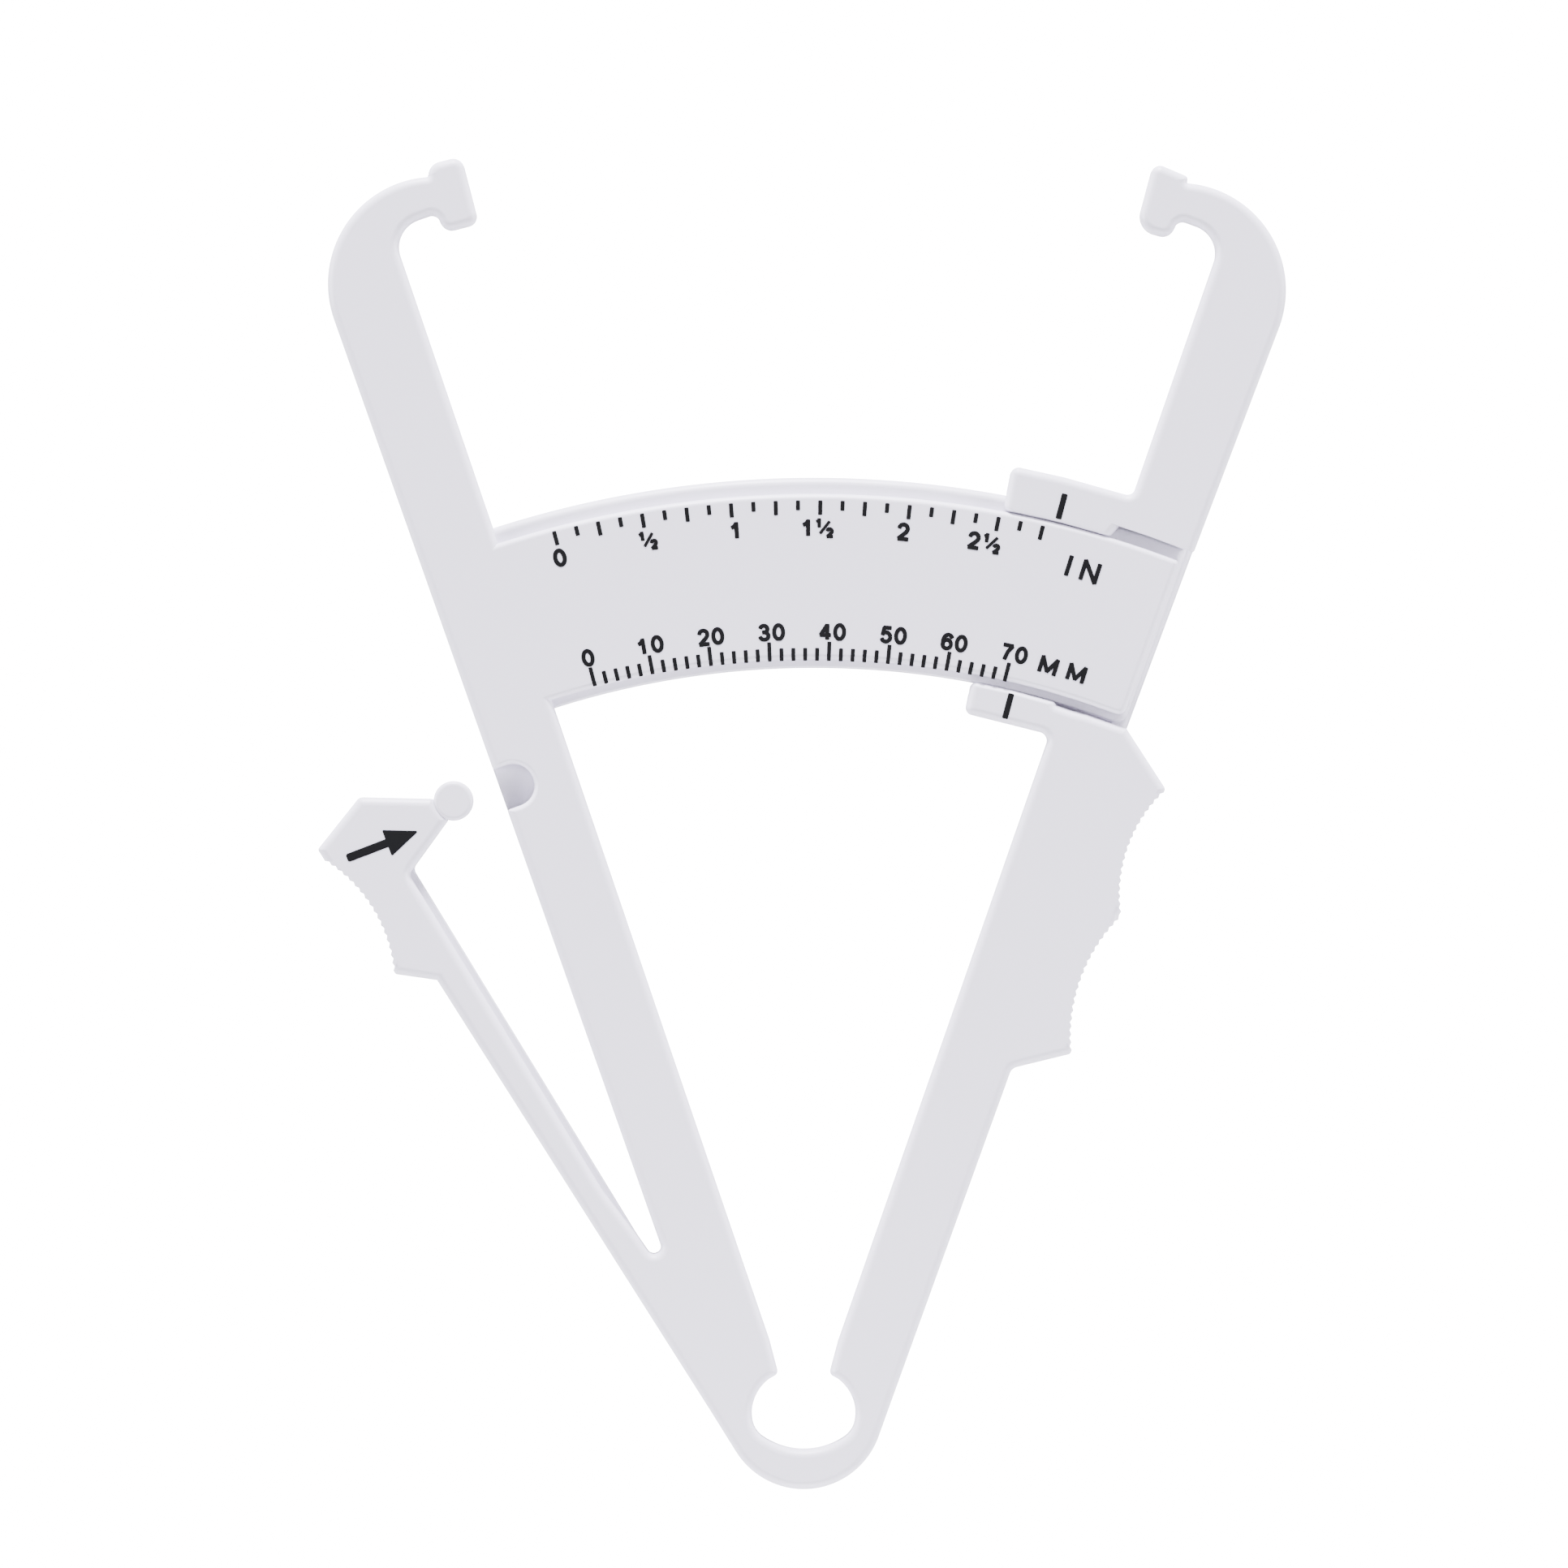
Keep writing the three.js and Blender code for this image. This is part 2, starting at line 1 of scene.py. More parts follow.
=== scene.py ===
# %% [markdown]
# # A skinfold caliper in white plastic
# The imported CAD part is the fixed frame: three bodies that a bow hinge and a lever hinge join.
# This lesson draws the moulding that the eye sees over it. The real tool is one moulding with
# black print on it, so each half becomes one smooth mesh, and the two places that bend, the bow
# and the lever's beam, become meshes of their own.

import math

import bmesh
import bpy
from mathutils import Matrix, Vector


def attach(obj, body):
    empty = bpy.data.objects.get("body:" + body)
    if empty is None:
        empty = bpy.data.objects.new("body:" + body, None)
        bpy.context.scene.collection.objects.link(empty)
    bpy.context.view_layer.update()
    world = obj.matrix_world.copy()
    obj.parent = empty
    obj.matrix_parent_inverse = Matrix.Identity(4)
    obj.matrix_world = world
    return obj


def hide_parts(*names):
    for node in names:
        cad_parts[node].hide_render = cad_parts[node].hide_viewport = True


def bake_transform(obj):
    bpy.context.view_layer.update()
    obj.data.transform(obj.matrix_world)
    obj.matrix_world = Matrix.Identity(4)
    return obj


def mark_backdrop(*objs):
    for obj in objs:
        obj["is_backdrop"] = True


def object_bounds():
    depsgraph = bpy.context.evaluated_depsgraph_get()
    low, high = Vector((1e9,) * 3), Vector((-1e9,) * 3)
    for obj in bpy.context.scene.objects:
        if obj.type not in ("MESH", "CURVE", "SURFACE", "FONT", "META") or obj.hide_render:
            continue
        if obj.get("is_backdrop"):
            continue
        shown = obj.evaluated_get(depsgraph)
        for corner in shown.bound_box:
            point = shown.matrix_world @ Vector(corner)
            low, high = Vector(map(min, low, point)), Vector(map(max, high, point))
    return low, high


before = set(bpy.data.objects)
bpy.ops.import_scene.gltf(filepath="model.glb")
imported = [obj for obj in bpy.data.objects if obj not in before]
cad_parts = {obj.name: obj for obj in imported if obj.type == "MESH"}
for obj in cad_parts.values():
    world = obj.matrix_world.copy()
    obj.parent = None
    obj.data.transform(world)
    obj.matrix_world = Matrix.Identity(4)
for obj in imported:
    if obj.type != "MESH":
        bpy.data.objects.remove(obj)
bounds_after_load = [list(corner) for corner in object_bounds()]
extent = [1000 * (b - a) for a, b in zip(*bounds_after_load)]
print("The frame is", " x ".join(f"{side:.1f}" for side in extent), "mm")

# %% [markdown]
# ## Sizes of the whole tool
# Everything is drawn in millimetres and made into metres when a mesh is finished. These are the
# sizes that the frame was built to, so that each mesh lies on the nodes it stands for: a plate
# 5 mm thick with a fillet along its outer edges, and two arms that lean apart and widen a little
# towards the jaws. Angles are in degrees.

# %% Sizes of the whole tool
THICKNESS = 5.0
FILLET = 0.9
HALF_OPENING = 14.8
ARM_LEAN = 4.7
REST_ANGLE = HALF_OPENING + ARM_LEAN
JAW_RADIUS = 138.9
ARM_OUTER = (6.3, 6.65)
ARM_INNER = (1.0, 2.15)
print(f"At rest each arm leans {REST_ANGLE:.1f} degrees")

# %% [markdown]
# ## Two halves in one frame
# The tool is nearly symmetric, so it is easiest to draw each half upright and to lean it
# afterwards. In a half's own frame v runs along the arm from the bending centre, and u points
# away from the other arm. `place` turns such a point out to where the frame holds it, with side
# -1 for the scale arm and 1 for the index arm, and `into_half` goes back.

# %% Leaning a half into place
SCALE_SIDE, INDEX_SIDE = -1, 1


def turn(point, degrees):
    x, y = point
    c, s = math.cos(math.radians(degrees)), math.sin(math.radians(degrees))
    return (x * c - y * s, x * s + y * c)


def place(side, point):
    return turn((side * point[0], point[1]), -side * REST_ANGLE)


def into_half(side, point):
    x, y = turn(point, side * REST_ANGLE)
    return (side * x, y)


def from_pad_plane(out, along):
    """A point by its distance from the plane that the pads meet on, and along that plane."""
    return turn((out, along), ARM_LEAN)


pad_faces = [place(side, from_pad_plane(0, JAW_RADIUS)) for side in (SCALE_SIDE, INDEX_SIDE)]
print(f"The pads stand {math.dist(*pad_faces):.1f} mm apart at rest")

# %% [markdown]
# The long edges of an arm are straight lines that drift outwards, so a point on them follows from
# its height alone. The inset lets other shapes start a little inside or beside the arm.

# %% Edges of an arm
def edge_at(edge, v):
    return edge[0] + (edge[1] - edge[0]) * v / JAW_RADIUS


def outer_edge(v, inset=0.0):
    return (edge_at(ARM_OUTER, v) - inset, v)


def inner_edge(v, inset=0.0):
    return (-edge_at(ARM_INNER, v) + inset, v)


width_halfway = outer_edge(JAW_RADIUS / 2)[0] - inner_edge(JAW_RADIUS / 2)[0]
print(f"Halfway up, an arm is {width_halfway:.2f} mm wide")

# %% [markdown]
# ## Arcs, straight runs and rounded corners
# Blender has no sketcher, so curves are drawn as many short flats. The number of flats follows
# from how far one may leave the true arc, which keeps small and large arcs equally smooth. Where
# two curves meet is worked out from circles and angles, as with a pair of compasses.

# %% Circles and angles
def on_circle(centre, radius, degrees):
    angle = math.radians(degrees)
    return (centre[0] + radius * math.cos(angle), centre[1] + radius * math.sin(angle))


def bearing(centre, point):
    """The angle in degrees at which a point is seen from a centre."""
    return math.degrees(math.atan2(point[1] - centre[1], point[0] - centre[0]))


def crossing(centre, radius, lean, out=0.0):
    """How far up a line from the bending centre it crosses a circle.

    The line leans to the right by that many degrees, and may lie a little out to its right side.
    """
    x, y = turn(centre, lean)
    return y + math.sqrt(radius**2 - (out - x) ** 2)


print(f"A circle of 5 mm is crossed {crossing((3, 0), 5, 0):.0f} mm up when it stands 3 mm aside")

# %% Arcs and straight runs
FLAT = 0.004


def arc(centre, radius, start, end):
    """Points along an arc in degrees, both ends included, no flat leaving it by more than FLAT."""
    step = 2 * math.degrees(math.acos(1 - FLAT / radius))
    count = max(2, math.ceil(abs(end - start) / step))
    return [on_circle(centre, radius, start + (end - start) * i / count) for i in range(count + 1)]


def spaced(start, end, pitch=1.0):
    """Points along a straight edge, without its ends, so that the mesh can bend there."""
    count = max(1, round(math.dist(start, end) / pitch))
    return [
        tuple(start[k] + (end[k] - start[k]) * i / count for k in (0, 1)) for i in range(1, count)
    ]


counts = [len(arc((0, 0), radius, 0, 360)) - 1 for radius in (1, 10)]
print("A full circle of 1 mm takes {} flats, and one of 10 mm {}".format(*counts))

# %% [markdown]
# A fillet along the edge of a plate is a stack of outlines, each a little higher and a little
# smaller. The bevel operator makes the same shape, but its rows cross each other where an outline
# has corners tighter than the fillet, and this tool has many. So the smaller outlines are worked
# out exactly: every edge moves inwards, and every rounded corner changes its radius with them.

# %% An outline moved inwards
TIGHTEST = 0.02
NEARLY_STRAIGHT = 0.99999


def moved_corner(point, a, b, depth_a, depth_b):
    """Where the edges with inward directions a and b meet after they moved by their depths."""
    facing = a.dot(b)
    if facing > NEARLY_STRAIGHT:
        return point + (a * depth_a + b * depth_b) / 2
    return point + (
        a * (depth_a - facing * depth_b) + b * (depth_b - facing * depth_a)
    ) / (1 - facing**2)


def inset_outline(corners, depth=0.0, shares=()):
    """The outline of corners, moved inwards by depth.

    A corner (x, y, radius) is rounded, and a corner (x, y) is kept. The radius shrinks with the
    depth where the outline bulges and grows where it is hollow. shares holds the edges that move
    less, by their index: by none of the depth at a seam, by part of it at a narrower fillet.
    """
    shares = dict(shares)
    count = len(corners)
    pairs = zip(corners, corners[1:] + corners[:1])
    inward = math.copysign(1, sum(p[0] * q[1] - q[0] * p[1] for p, q in pairs))
    points = []
    for i, corner in enumerate(corners):
        here = Vector(corner[:2])
        before = (here - Vector(corners[i - 1][:2])).normalized()
        after = (Vector(corners[(i + 1) % count][:2]) - here).normalized()
        a, b = [Vector((-d.y, d.x)) * inward for d in (before, after)]
        depth_a = depth * shares.get((i - 1) % count, 1)
        depth_b = depth * shares.get(i, 1)
        here = moved_corner(here, a, b, depth_a, depth_b)
        if len(corner) == 2:
            points.append(tuple(here))
            continue
        bulges = math.copysign(1, (before.x * after.y - before.y * after.x) * inward)
        radius = max(corner[2] - bulges * (depth_a + depth_b) / 2, TIGHTEST)
        sweep = a.angle_signed(b)
        largest = max(corner[2], corner[2] - bulges * FILLET)
        steps = math.ceil(abs(sweep) / (2 * math.acos(1 - FLAT / largest)))
        centre = here + (a + b).normalized() * bulges * radius / math.cos(sweep / 2)
        for k in range(steps + 1):
            normal = Vector(a)
            normal.rotate(Matrix.Rotation(-sweep * k / steps, 2))
            points.append(tuple(centre - normal * bulges * radius))
    return points


square = [(0, 0, 2), (10, 0, 2), (10, 10, 2), (0, 10, 2)]
counts = [len(inset_outline(square, depth)) for depth in (0, FILLET)]
print("A rounded square has {} points, and when moved inwards {}".format(*counts))

# %% [markdown]
# ## From an outline to a moulded solid
# A quarter circle gives the height and the inset of each outline in a fillet. `solid` starts from
# one face, extrudes it level by level with the extrude operator, and lays each new rim on the
# outline of its level. Edges named as seams stay square, so that a mesh can meet the next there.

# %% Levels of a fillet
def fillet_levels(low, high, top, bottom, segments):
    """The heights of a solid's rings and how far in each lies, from the back up to the front."""
    quarter = [math.radians(90 * i / segments) for i in range(segments + 1)]
    levels = [(low, 0.0)]
    if bottom:
        levels = [
            (low + bottom * (1 - math.sin(a)), bottom * (1 - math.cos(a)))
            for a in reversed(quarter)
        ]
    if top:
        levels += [(high - top * (1 - math.sin(a)), top * (1 - math.cos(a))) for a in quarter]
    else:
        levels.append((high, 0.0))
    return levels


print("An arm has", len(fillet_levels(0, THICKNESS, FILLET, FILLET, 6)), "levels")

# %% [markdown]
# One mesh can hold several solids, as the layers of an arm, so they are collected in one bmesh.
# When it is finished, sharp edges are marked by their angle, and the Weighted Normal modifier
# keeps the large flats flat while the fillets stay smooth. That looks like a moulding, where
# plain smooth shading would make the flats look dented.

# %% A moulding
SHARP_ANGLE = 38
FACE_WEIGHT = 50


class Moulding:
    def __init__(self, side=None):
        self.bm = bmesh.new()
        self.side = side

    def solid(self, outline, low, high, top=FILLET, bottom=FILLET, shares=(), segments=6):
        if self.side:
            outline = [(*place(self.side, p[:2]), *p[2:]) for p in outline]
        rings = [
            [Vector((x, y, z)) for x, y in inset_outline(outline, depth, shares)]
            for z, depth in fillet_levels(low, high, top, bottom, segments)
        ]
        back = face = self.bm.faces.new([self.bm.verts.new(point) for point in rings[0]])
        for below, ring in zip(rings, rings[1:]):
            index = {tuple(point): i for i, point in enumerate(below)}
            raised = bmesh.ops.extrude_face_region(self.bm, geom=[face])["geom"]
            if face is not back:
                self.bm.faces.remove(face)
            face = next(item for item in raised if isinstance(item, bmesh.types.BMFace))
            for vertex in face.verts:
                vertex.co = ring[index[tuple(vertex.co)]]

    def finish(self, name):
        bmesh.ops.recalc_face_normals(self.bm, faces=self.bm.faces)
        for face in self.bm.faces:
            face.smooth = True
        for edge in self.bm.edges:
            if len(edge.link_faces) == 2 and edge.calc_face_angle() > math.radians(SHARP_ANGLE):
                edge.smooth = False
        bmesh.ops.scale(self.bm, vec=(0.001, 0.001, 0.001), verts=self.bm.verts)
        mesh = bpy.data.meshes.new(name)
        self.bm.to_mesh(mesh)
        self.bm.free()
        obj = bpy.data.objects.new(name, mesh)
        bpy.context.scene.collection.objects.link(obj)
        weighted = obj.modifiers.new("flat faces stay flat", "WEIGHTED_NORMAL")
        weighted.keep_sharp = True
        weighted.weight = FACE_WEIGHT
        print(f"{name}: {len(mesh.polygons)} faces, {len(mesh.vertices)} vertices")
        return obj


trial = Moulding()
trial.solid(square, 0, THICKNESS)
print("A square block makes", len(trial.bm.faces), "faces")
trial.bm.free()

# %% [markdown]
# ## The bow
# The bow is a C of even plastic round a hole that is a little wider than it is high. Its outer
# side is one circle, and the lever's edge and the right arm's edge run off it without a corner.
# The band between the hole and that circle bends, and it is thinnest on the level of the hole's
# centre, so the bow is cut from the arms there.

# %% Circles of the bow
BOW_CENTRE_HEIGHT = 6.32
BOW_FLOOR_RADIUS = 7.66
HOLE_CENTRE = (0.9, 5.9)
HOLE_RADIUS = 4.55
HOLE_CORNER = 2.6
LEVER_SPLAY = 12.7

bow_centre = turn((0.0, BOW_CENTRE_HEIGHT), REST_ANGLE)
bow_outer_radius = ARM_OUTER[0] + BOW_CENTRE_HEIGHT * math.sin(math.radians(REST_ANGLE))
floor_centre = (0.0, bow_outer_radius - BOW_CENTRE_HEIGHT + BOW_FLOOR_RADIUS)
print(f"The band is {2 * (bow_outer_radius - BOW_CENTRE_HEIGHT):.2f} mm thick at the bottom")

# %% [markdown]
# The hole has a round side, a smaller arc in the corner below it, and a flatter floor. Two arcs
# meet without a kink where their centres and the meeting point lie on one line, so the corner's
# centre is where two circles cross, one about each of the other centres.

# %% Side of the hole
apart = math.dist(HOLE_CENTRE, floor_centre)
side_reach, floor_reach = HOLE_RADIUS - HOLE_CORNER, BOW_FLOOR_RADIUS - HOLE_CORNER
to_crossing = (apart**2 + side_reach**2 - floor_reach**2) / (2 * apart)
to_floor = bearing(HOLE_CENTRE, floor_centre)
hole_end = to_floor - math.degrees(math.acos(to_crossing / side_reach))
corner = on_circle(HOLE_CENTRE, side_reach, hole_end)
floor_start = bearing(floor_centre, corner)
hole_start = math.degrees(math.asin((BOW_CENTRE_HEIGHT - HOLE_CENTRE[1]) / HOLE_RADIUS))
right_hole = arc(HOLE_CENTRE, HOLE_RADIUS, hole_start, hole_end)
right_hole += arc(corner, HOLE_CORNER, hole_end, floor_start)[1:]
hole_floor = arc(floor_centre, BOW_FLOOR_RADIUS, floor_start, -180 - floor_start)[1:-1]
print(f"The hole is {2 * max(x for x, y in right_hole):.2f} mm wide")

# %% [markdown]
# The rest of the outline is the outer circle between the two places where the arms' edges leave
# it. The two short edges on the level of the cut are seams, and they keep their place.

# %% The bow, from one arm to the other
def up_to_seam(side, leaving):
    """Where the edge that leaves the bow's outer circle at that angle reaches the seam's level."""
    x, y = place(side, on_circle(bow_centre, bow_outer_radius, leaving))
    slope = math.tan(math.radians(REST_ANGLE - leaving))
    return (x + side * slope * (BOW_CENTRE_HEIGHT - y), BOW_CENTRE_HEIGHT)


left_outer = up_to_seam(SCALE_SIDE, -LEVER_SPLAY)
right_outer = up_to_seam(INDEX_SIDE, 0)
level = (0.0, BOW_CENTRE_HEIGHT)
outside = arc(level, bow_outer_radius, 180 + REST_ANGLE + LEVER_SPLAY, 360 - REST_ANGLE)
outline = [left_outer, *outside, right_outer]
seams = {len(outline) - 1: 0}
outline += right_hole + hole_floor + [(-x, y) for x, y in reversed(right_hole)]
seams[len(outline) - 1] = 0

moulding = Moulding()
moulding.solid(outline, 0, THICKNESS, shares=seams)
bow = moulding.finish("bow_moulding")
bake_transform(bow)
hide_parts("left_bow", "right_bow")

# %% [markdown]
# Above the cut, each arm carries the upper part of the hole and a lip that nearly touches the
# other arm's lip when the tool closes. Both arms need that run of points, drawn from the top of
# the lip down to the cut. The corner of the lip is rounded, and the points of the arc beside it
# are left out, because the rounding needs that room. The same is done at other such corners.

# %% Lip and upper part of the hole
LIP_CLEARANCE = 0.03
LIP_ROUND = 0.5
AFTER_LIP = 3


def lip_and_hole():
    """The inner side of a half, from the top of its lip to the seam at the hole's level."""
    slope = (ARM_INNER[1] - ARM_INNER[0]) / JAW_RADIUS
    c, s = math.cos(math.radians(ARM_LEAN)), math.sin(math.radians(ARM_LEAN))
    top = (ARM_INNER[0] + LIP_CLEARANCE * (c + slope * s)) / (s - slope * c)
    foot = crossing(HOLE_CENTRE, HOLE_RADIUS, HALF_OPENING, LIP_CLEARANCE)
    top, foot = [from_pad_plane(LIP_CLEARANCE, along) for along in (top, foot)]
    lip_angle = bearing(HOLE_CENTRE, place(INDEX_SIDE, foot))
    hole = arc(HOLE_CENTRE, HOLE_RADIUS, lip_angle, hole_start)[AFTER_LIP:]
    return [top, (*foot, LIP_ROUND), *[into_half(INDEX_SIDE, point) for point in hole]]


print(f"The lip is {math.dist(lip_and_hole()[0], lip_and_hole()[1][:2]):.1f} mm high")

# %% [markdown]
# ## Hooked jaws and pads
# Both jaws are the same but for their pads: the arm curves over into a neck, and the neck runs
# into a pad that is longer than the neck is wide. Hook and pad are one run of points, so that a
# fillet can go round them without a seam. The corners of the two real pads differ, so each pad
# has its own list of roundings.

# %% Hook with its pad
HOOK_OUTER_RADIUS = 11.3
HOOK_INNER_RADIUS = 3.0
NECK_TOP = JAW_RADIUS * math.cos(math.radians(ARM_LEAN)) + 3.15
NECK_WIDTH = 4.3
NECK_FILLET, NECK_CREASE = 0.9, 0.12
PAD_LENGTH = 7.3
PAD_BACK = 3.95


def hook(pad, lift=0.0):
    """From the arm's outer edge over the hook, round the pad and back to the inner edge.

    pad gives how much shorter the back of the pad is, and the radii of its four corners.
    """
    shorter, back_far, front_far, front_near, back_near = pad
    top = NECK_TOP + lift
    outer_centre = (ARM_OUTER[1] - HOOK_OUTER_RADIUS, top - HOOK_OUTER_RADIUS)
    neck_foot = top - NECK_WIDTH
    inner_centre = (-ARM_INNER[1] - HOOK_INNER_RADIUS, neck_foot - HOOK_INNER_RADIUS)
    c, s = math.cos(math.radians(ARM_LEAN)), math.sin(math.radians(ARM_LEAN))
    near, far = JAW_RADIUS + lift - PAD_LENGTH / 2, JAW_RADIUS + lift + PAD_LENGTH / 2

    def back_at(y):
        return (PAD_BACK - s * y) / c

    def neck_top(x):
        return outer_centre[1] + math.sqrt(HOOK_OUTER_RADIUS**2 - (x - outer_centre[0]) ** 2)

    reach = (outer_centre[0] - back_at(neck_top(back_at(top)))) / HOOK_OUTER_RADIUS
    over = arc(outer_centre, HOOK_OUTER_RADIUS, 0, 90 + math.degrees(math.asin(reach)))
    round_pad = [
        (*from_pad_plane(PAD_BACK, far - shorter), back_far),
        (*from_pad_plane(0, far), front_far),
        (*from_pad_plane(0, near), front_near),
        (*from_pad_plane(PAD_BACK, near), back_near),
        (back_at(neck_foot), neck_foot, NECK_FILLET),
    ]
    under = arc(inner_centre, HOOK_INNER_RADIUS, 90, 0)
    return [*over[:-2], (*over[-1], NECK_CREASE), *round_pad, *under]


print(f"The top of the neck lies {NECK_TOP:.1f} mm up the arm")

# %% Corners of the two pads
LEFT_PAD = (0.0, 1.5, 1.2, 1.1, 1.3)
RIGHT_PAD = (0.55, 0.5, 1.0, 2.0, 1.3)
LEFT_JAW_LIFT = 0.4
print("The hook with its pad takes", len(hook(LEFT_PAD, LEFT_JAW_LIFT)), "points")

# %% [markdown]
# ## The thumb lever
# The lever is drawn along its own outer edge: `on_lever` takes a distance out of that edge and a
# distance along it from the centre that the beam bends about. The beam tapers a little, so its
# edges are lines between its root and its head.

# %% Frame of the lever
LEVER_REACH = 33.5
BEAM_LENGTH = 25.3
ROOT_DROP = 11.2
ROOT_OUT, HEAD_OUT = 0.12, 0.38
ROOT_WIDTH, HEAD_WIDTH = 3.35, 3.95


def on_lever(point):
    x, y = turn((bow_outer_radius + point[0], LEVER_REACH + point[1]), -LEVER_SPLAY)
    return (bow_centre[0] + x, bow_centre[1] + y)


def beam_edge(along, width_share=0.0):
    """A point of the beam's outer edge, or of its inner edge with a share of 1."""
    up = (along + ROOT_DROP) / (BEAM_LENGTH + ROOT_DROP)
    width = ROOT_WIDTH + (HEAD_WIDTH - ROOT_WIDTH) * up
    return (ROOT_OUT + (HEAD_OUT - ROOT_OUT) * up - width_share * width, along)


print(f"The beam is {math.dist(beam_edge(0), beam_edge(0, 1)):.2f} mm wide where it bends")

# %% [markdown]
# The grips have shallow hollows for a finger, cut into fine teeth against slipping. The teeth
# belong to the outline, as a zigzag about the hollow's arc, because they show against the light.
# Fillets as wide as the others would wash them out, so their edges get a narrow one: `run_of`
# names the edges along a run of points for that.

# %% Toothed hollows
SCALLOP_DEPTH = 1.75
TOOTH = 0.2
TOOTH_PITCH = 0.8
TOOTH_SHARE = 0.13


def scallop(out, foot, length):
    """A shallow hollow over a straight run of a grip's edge, cut into small teeth."""
    radius = (length**2 / 4 + SCALLOP_DEPTH**2) / (2 * SCALLOP_DEPTH)
    centre = (out - SCALLOP_DEPTH + radius, foot + length / 2)
    reach = math.degrees(math.asin(length / 2 / radius))
    count = round(length / TOOTH_PITCH)
    points = []
    for i in range(1, 2 * count):
        tooth = TOOTH if i % 2 else 0
        points.append(on_circle(centre, radius - tooth, 180 + reach * (1 - i / count)))
    return points


def run_of(outline, run, share):
    """Shares for the edges that join a run of the outline's points."""
    start = outline.index(run[0])
    return {i: share for i in range(start, start + len(run) - 1)}


print("A hollow 15 mm long has", len(scallop(0, 0, 15)) // 2 + 1, "teeth")

# %% Outline of the lever
BEAM_SEAM = -8.6
THUMB_FOOT = (3.75, BEAM_LENGTH + 2.85)
THUMB_TOP = (3.75, BEAM_LENGTH + 18.35)
THUMB_SCALLOP = 14.5

thumb_teeth = scallop(*THUMB_FOOT, THUMB_SCALLOP)
beam_outer, beam_inner = beam_edge(BEAM_SEAM), beam_edge(BEAM_SEAM, 1)
throat = (*beam_edge(BEAM_LENGTH + 11.3, 1), 0.8)
head = [
    beam_edge(BEAM_LENGTH),
    (*THUMB_FOOT, 0.35),
    *thumb_teeth,
    (*THUMB_TOP, 0.35),
    (-2.9, BEAM_LENGTH + 20.7, 0.8),
    (-9.3, BEAM_LENGTH + 16.5, 0.3),
    (-9.6, BEAM_LENGTH + 13.7, 0.4),
    throat,
]
outline = [beam_outer, *spaced(beam_outer, beam_edge(BEAM_LENGTH)), *head]
outline += [*spaced(throat[:2], beam_inner)[1:], beam_inner]
shares = {len(outline) - 1: 0, **run_of(outline, thumb_teeth, TOOTH_SHARE)}
print("The lever's outline has", len(outline), "points,", len(thumb_teeth), "of them for teeth")

# %% [markdown]
# The beam has a low ledge along its inner side. It comes from two layers: the lower one has the
# whole width, and the upper one is drawn in there. The stud is a short round post that runs into
# the head. The layers and the stud overlap inside, which a render and an STL both allow.

# %% Layers of the lever
BEAM_LEDGE, LEDGE_WIDTH, LEDGE_START = 3.4, 0.65, 6.0
STUD = on_lever((-11.1, BEAM_LENGTH + 15.1))
STUD_RADIUS = 2.1
STUD_BACK, STUD_FRONT = 2.4, THICKNESS - 0.02

throat_at = outline.index(throat)
whole, stepped = [], []
for i, (out, along, *rounding) in enumerate(outline):
    whole.append((*on_lever((out, along)), *rounding))
    if i > throat_at:
        out += LEDGE_WIDTH * min(1, (along - BEAM_SEAM) / LEDGE_START)
    elif i == throat_at:
        out, along = out + LEDGE_WIDTH, along - 0.4 * LEDGE_WIDTH
    stepped.append((*on_lever((out, along)), *rounding))
moulding = Moulding(SCALE_SIDE)
moulding.solid(whole, 0, BEAM_LEDGE, 0.15, FILLET, shares)
moulding.solid(stepped, BEAM_LEDGE - 0.2, THICKNESS, FILLET, 0, shares)
moulding.solid(arc(STUD, STUD_RADIUS, 0, 360)[:-1], STUD_BACK, STUD_FRONT, 0.5, 0.5)
lever = moulding.finish("thumb_lever_moulding")

# %% [markdown]
# The lever's beam bends from the seam at its root to the head, and the ends of that stretch are
# worked out here. Below the seam the lever is part of the scale arm's mesh.

# %% Ends of the beam's bend
bend = [place(SCALE_SIDE, on_lever(beam_edge(at))) for at in (BEAM_SEAM + 0.2, BEAM_LENGTH - 1)]
bend = [(x / 1000, y / 1000, 0) for x, y in bend]
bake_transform(lever)
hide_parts("lever_beam", "thumb_pad", "click_stud")
print(f"The bend is {1000 * math.dist(*bend):.1f} mm long")

# %% [markdown]
# ## The scale arm
# The arm is two layers, so that the dimple for the stud can be a pocket that stops at the lower
# one. A boolean cut would make the same pocket, but it leaves long thin faces that shade badly.
# The slot beside the lever's beam ends in a round foot.

# %% Round foot of the slot
SLOT_FOOT_RADIUS = 0.75


def slot_foot():
    u = edge_at(ARM_OUTER, LEVER_REACH) + SLOT_FOOT_RADIUS
    c, s = math.cos(math.radians(LEVER_SPLAY)), math.sin(math.radians(LEVER_SPLAY))
    out = bow_outer_radius - ROOT_WIDTH - SLOT_FOOT_RADIUS
    v = bow_centre[1] + ((u - bow_centre[0]) * c - out) / s
    return arc((u, v), SLOT_FOOT_RADIUS, -LEVER_SPLAY, -180)


print("The slot ends at", [round(x, 1) for x in place(SCALE_SIDE, slot_foot()[0])])

# %% [markdown]
# The dimple lies where the stud comes to rest: as far from the beam's bending centre as the stud
# is, on the level of the arm's outer edge. It is open to that side, so its outline is a U.

# %% Dimple for the stud
DIMPLE_RADIUS = 2.25
DIMPLE_FLOOR = 2.3
DIMPLE_INSIDE = 1.45
FLEX = on_lever((-1.84, 0))

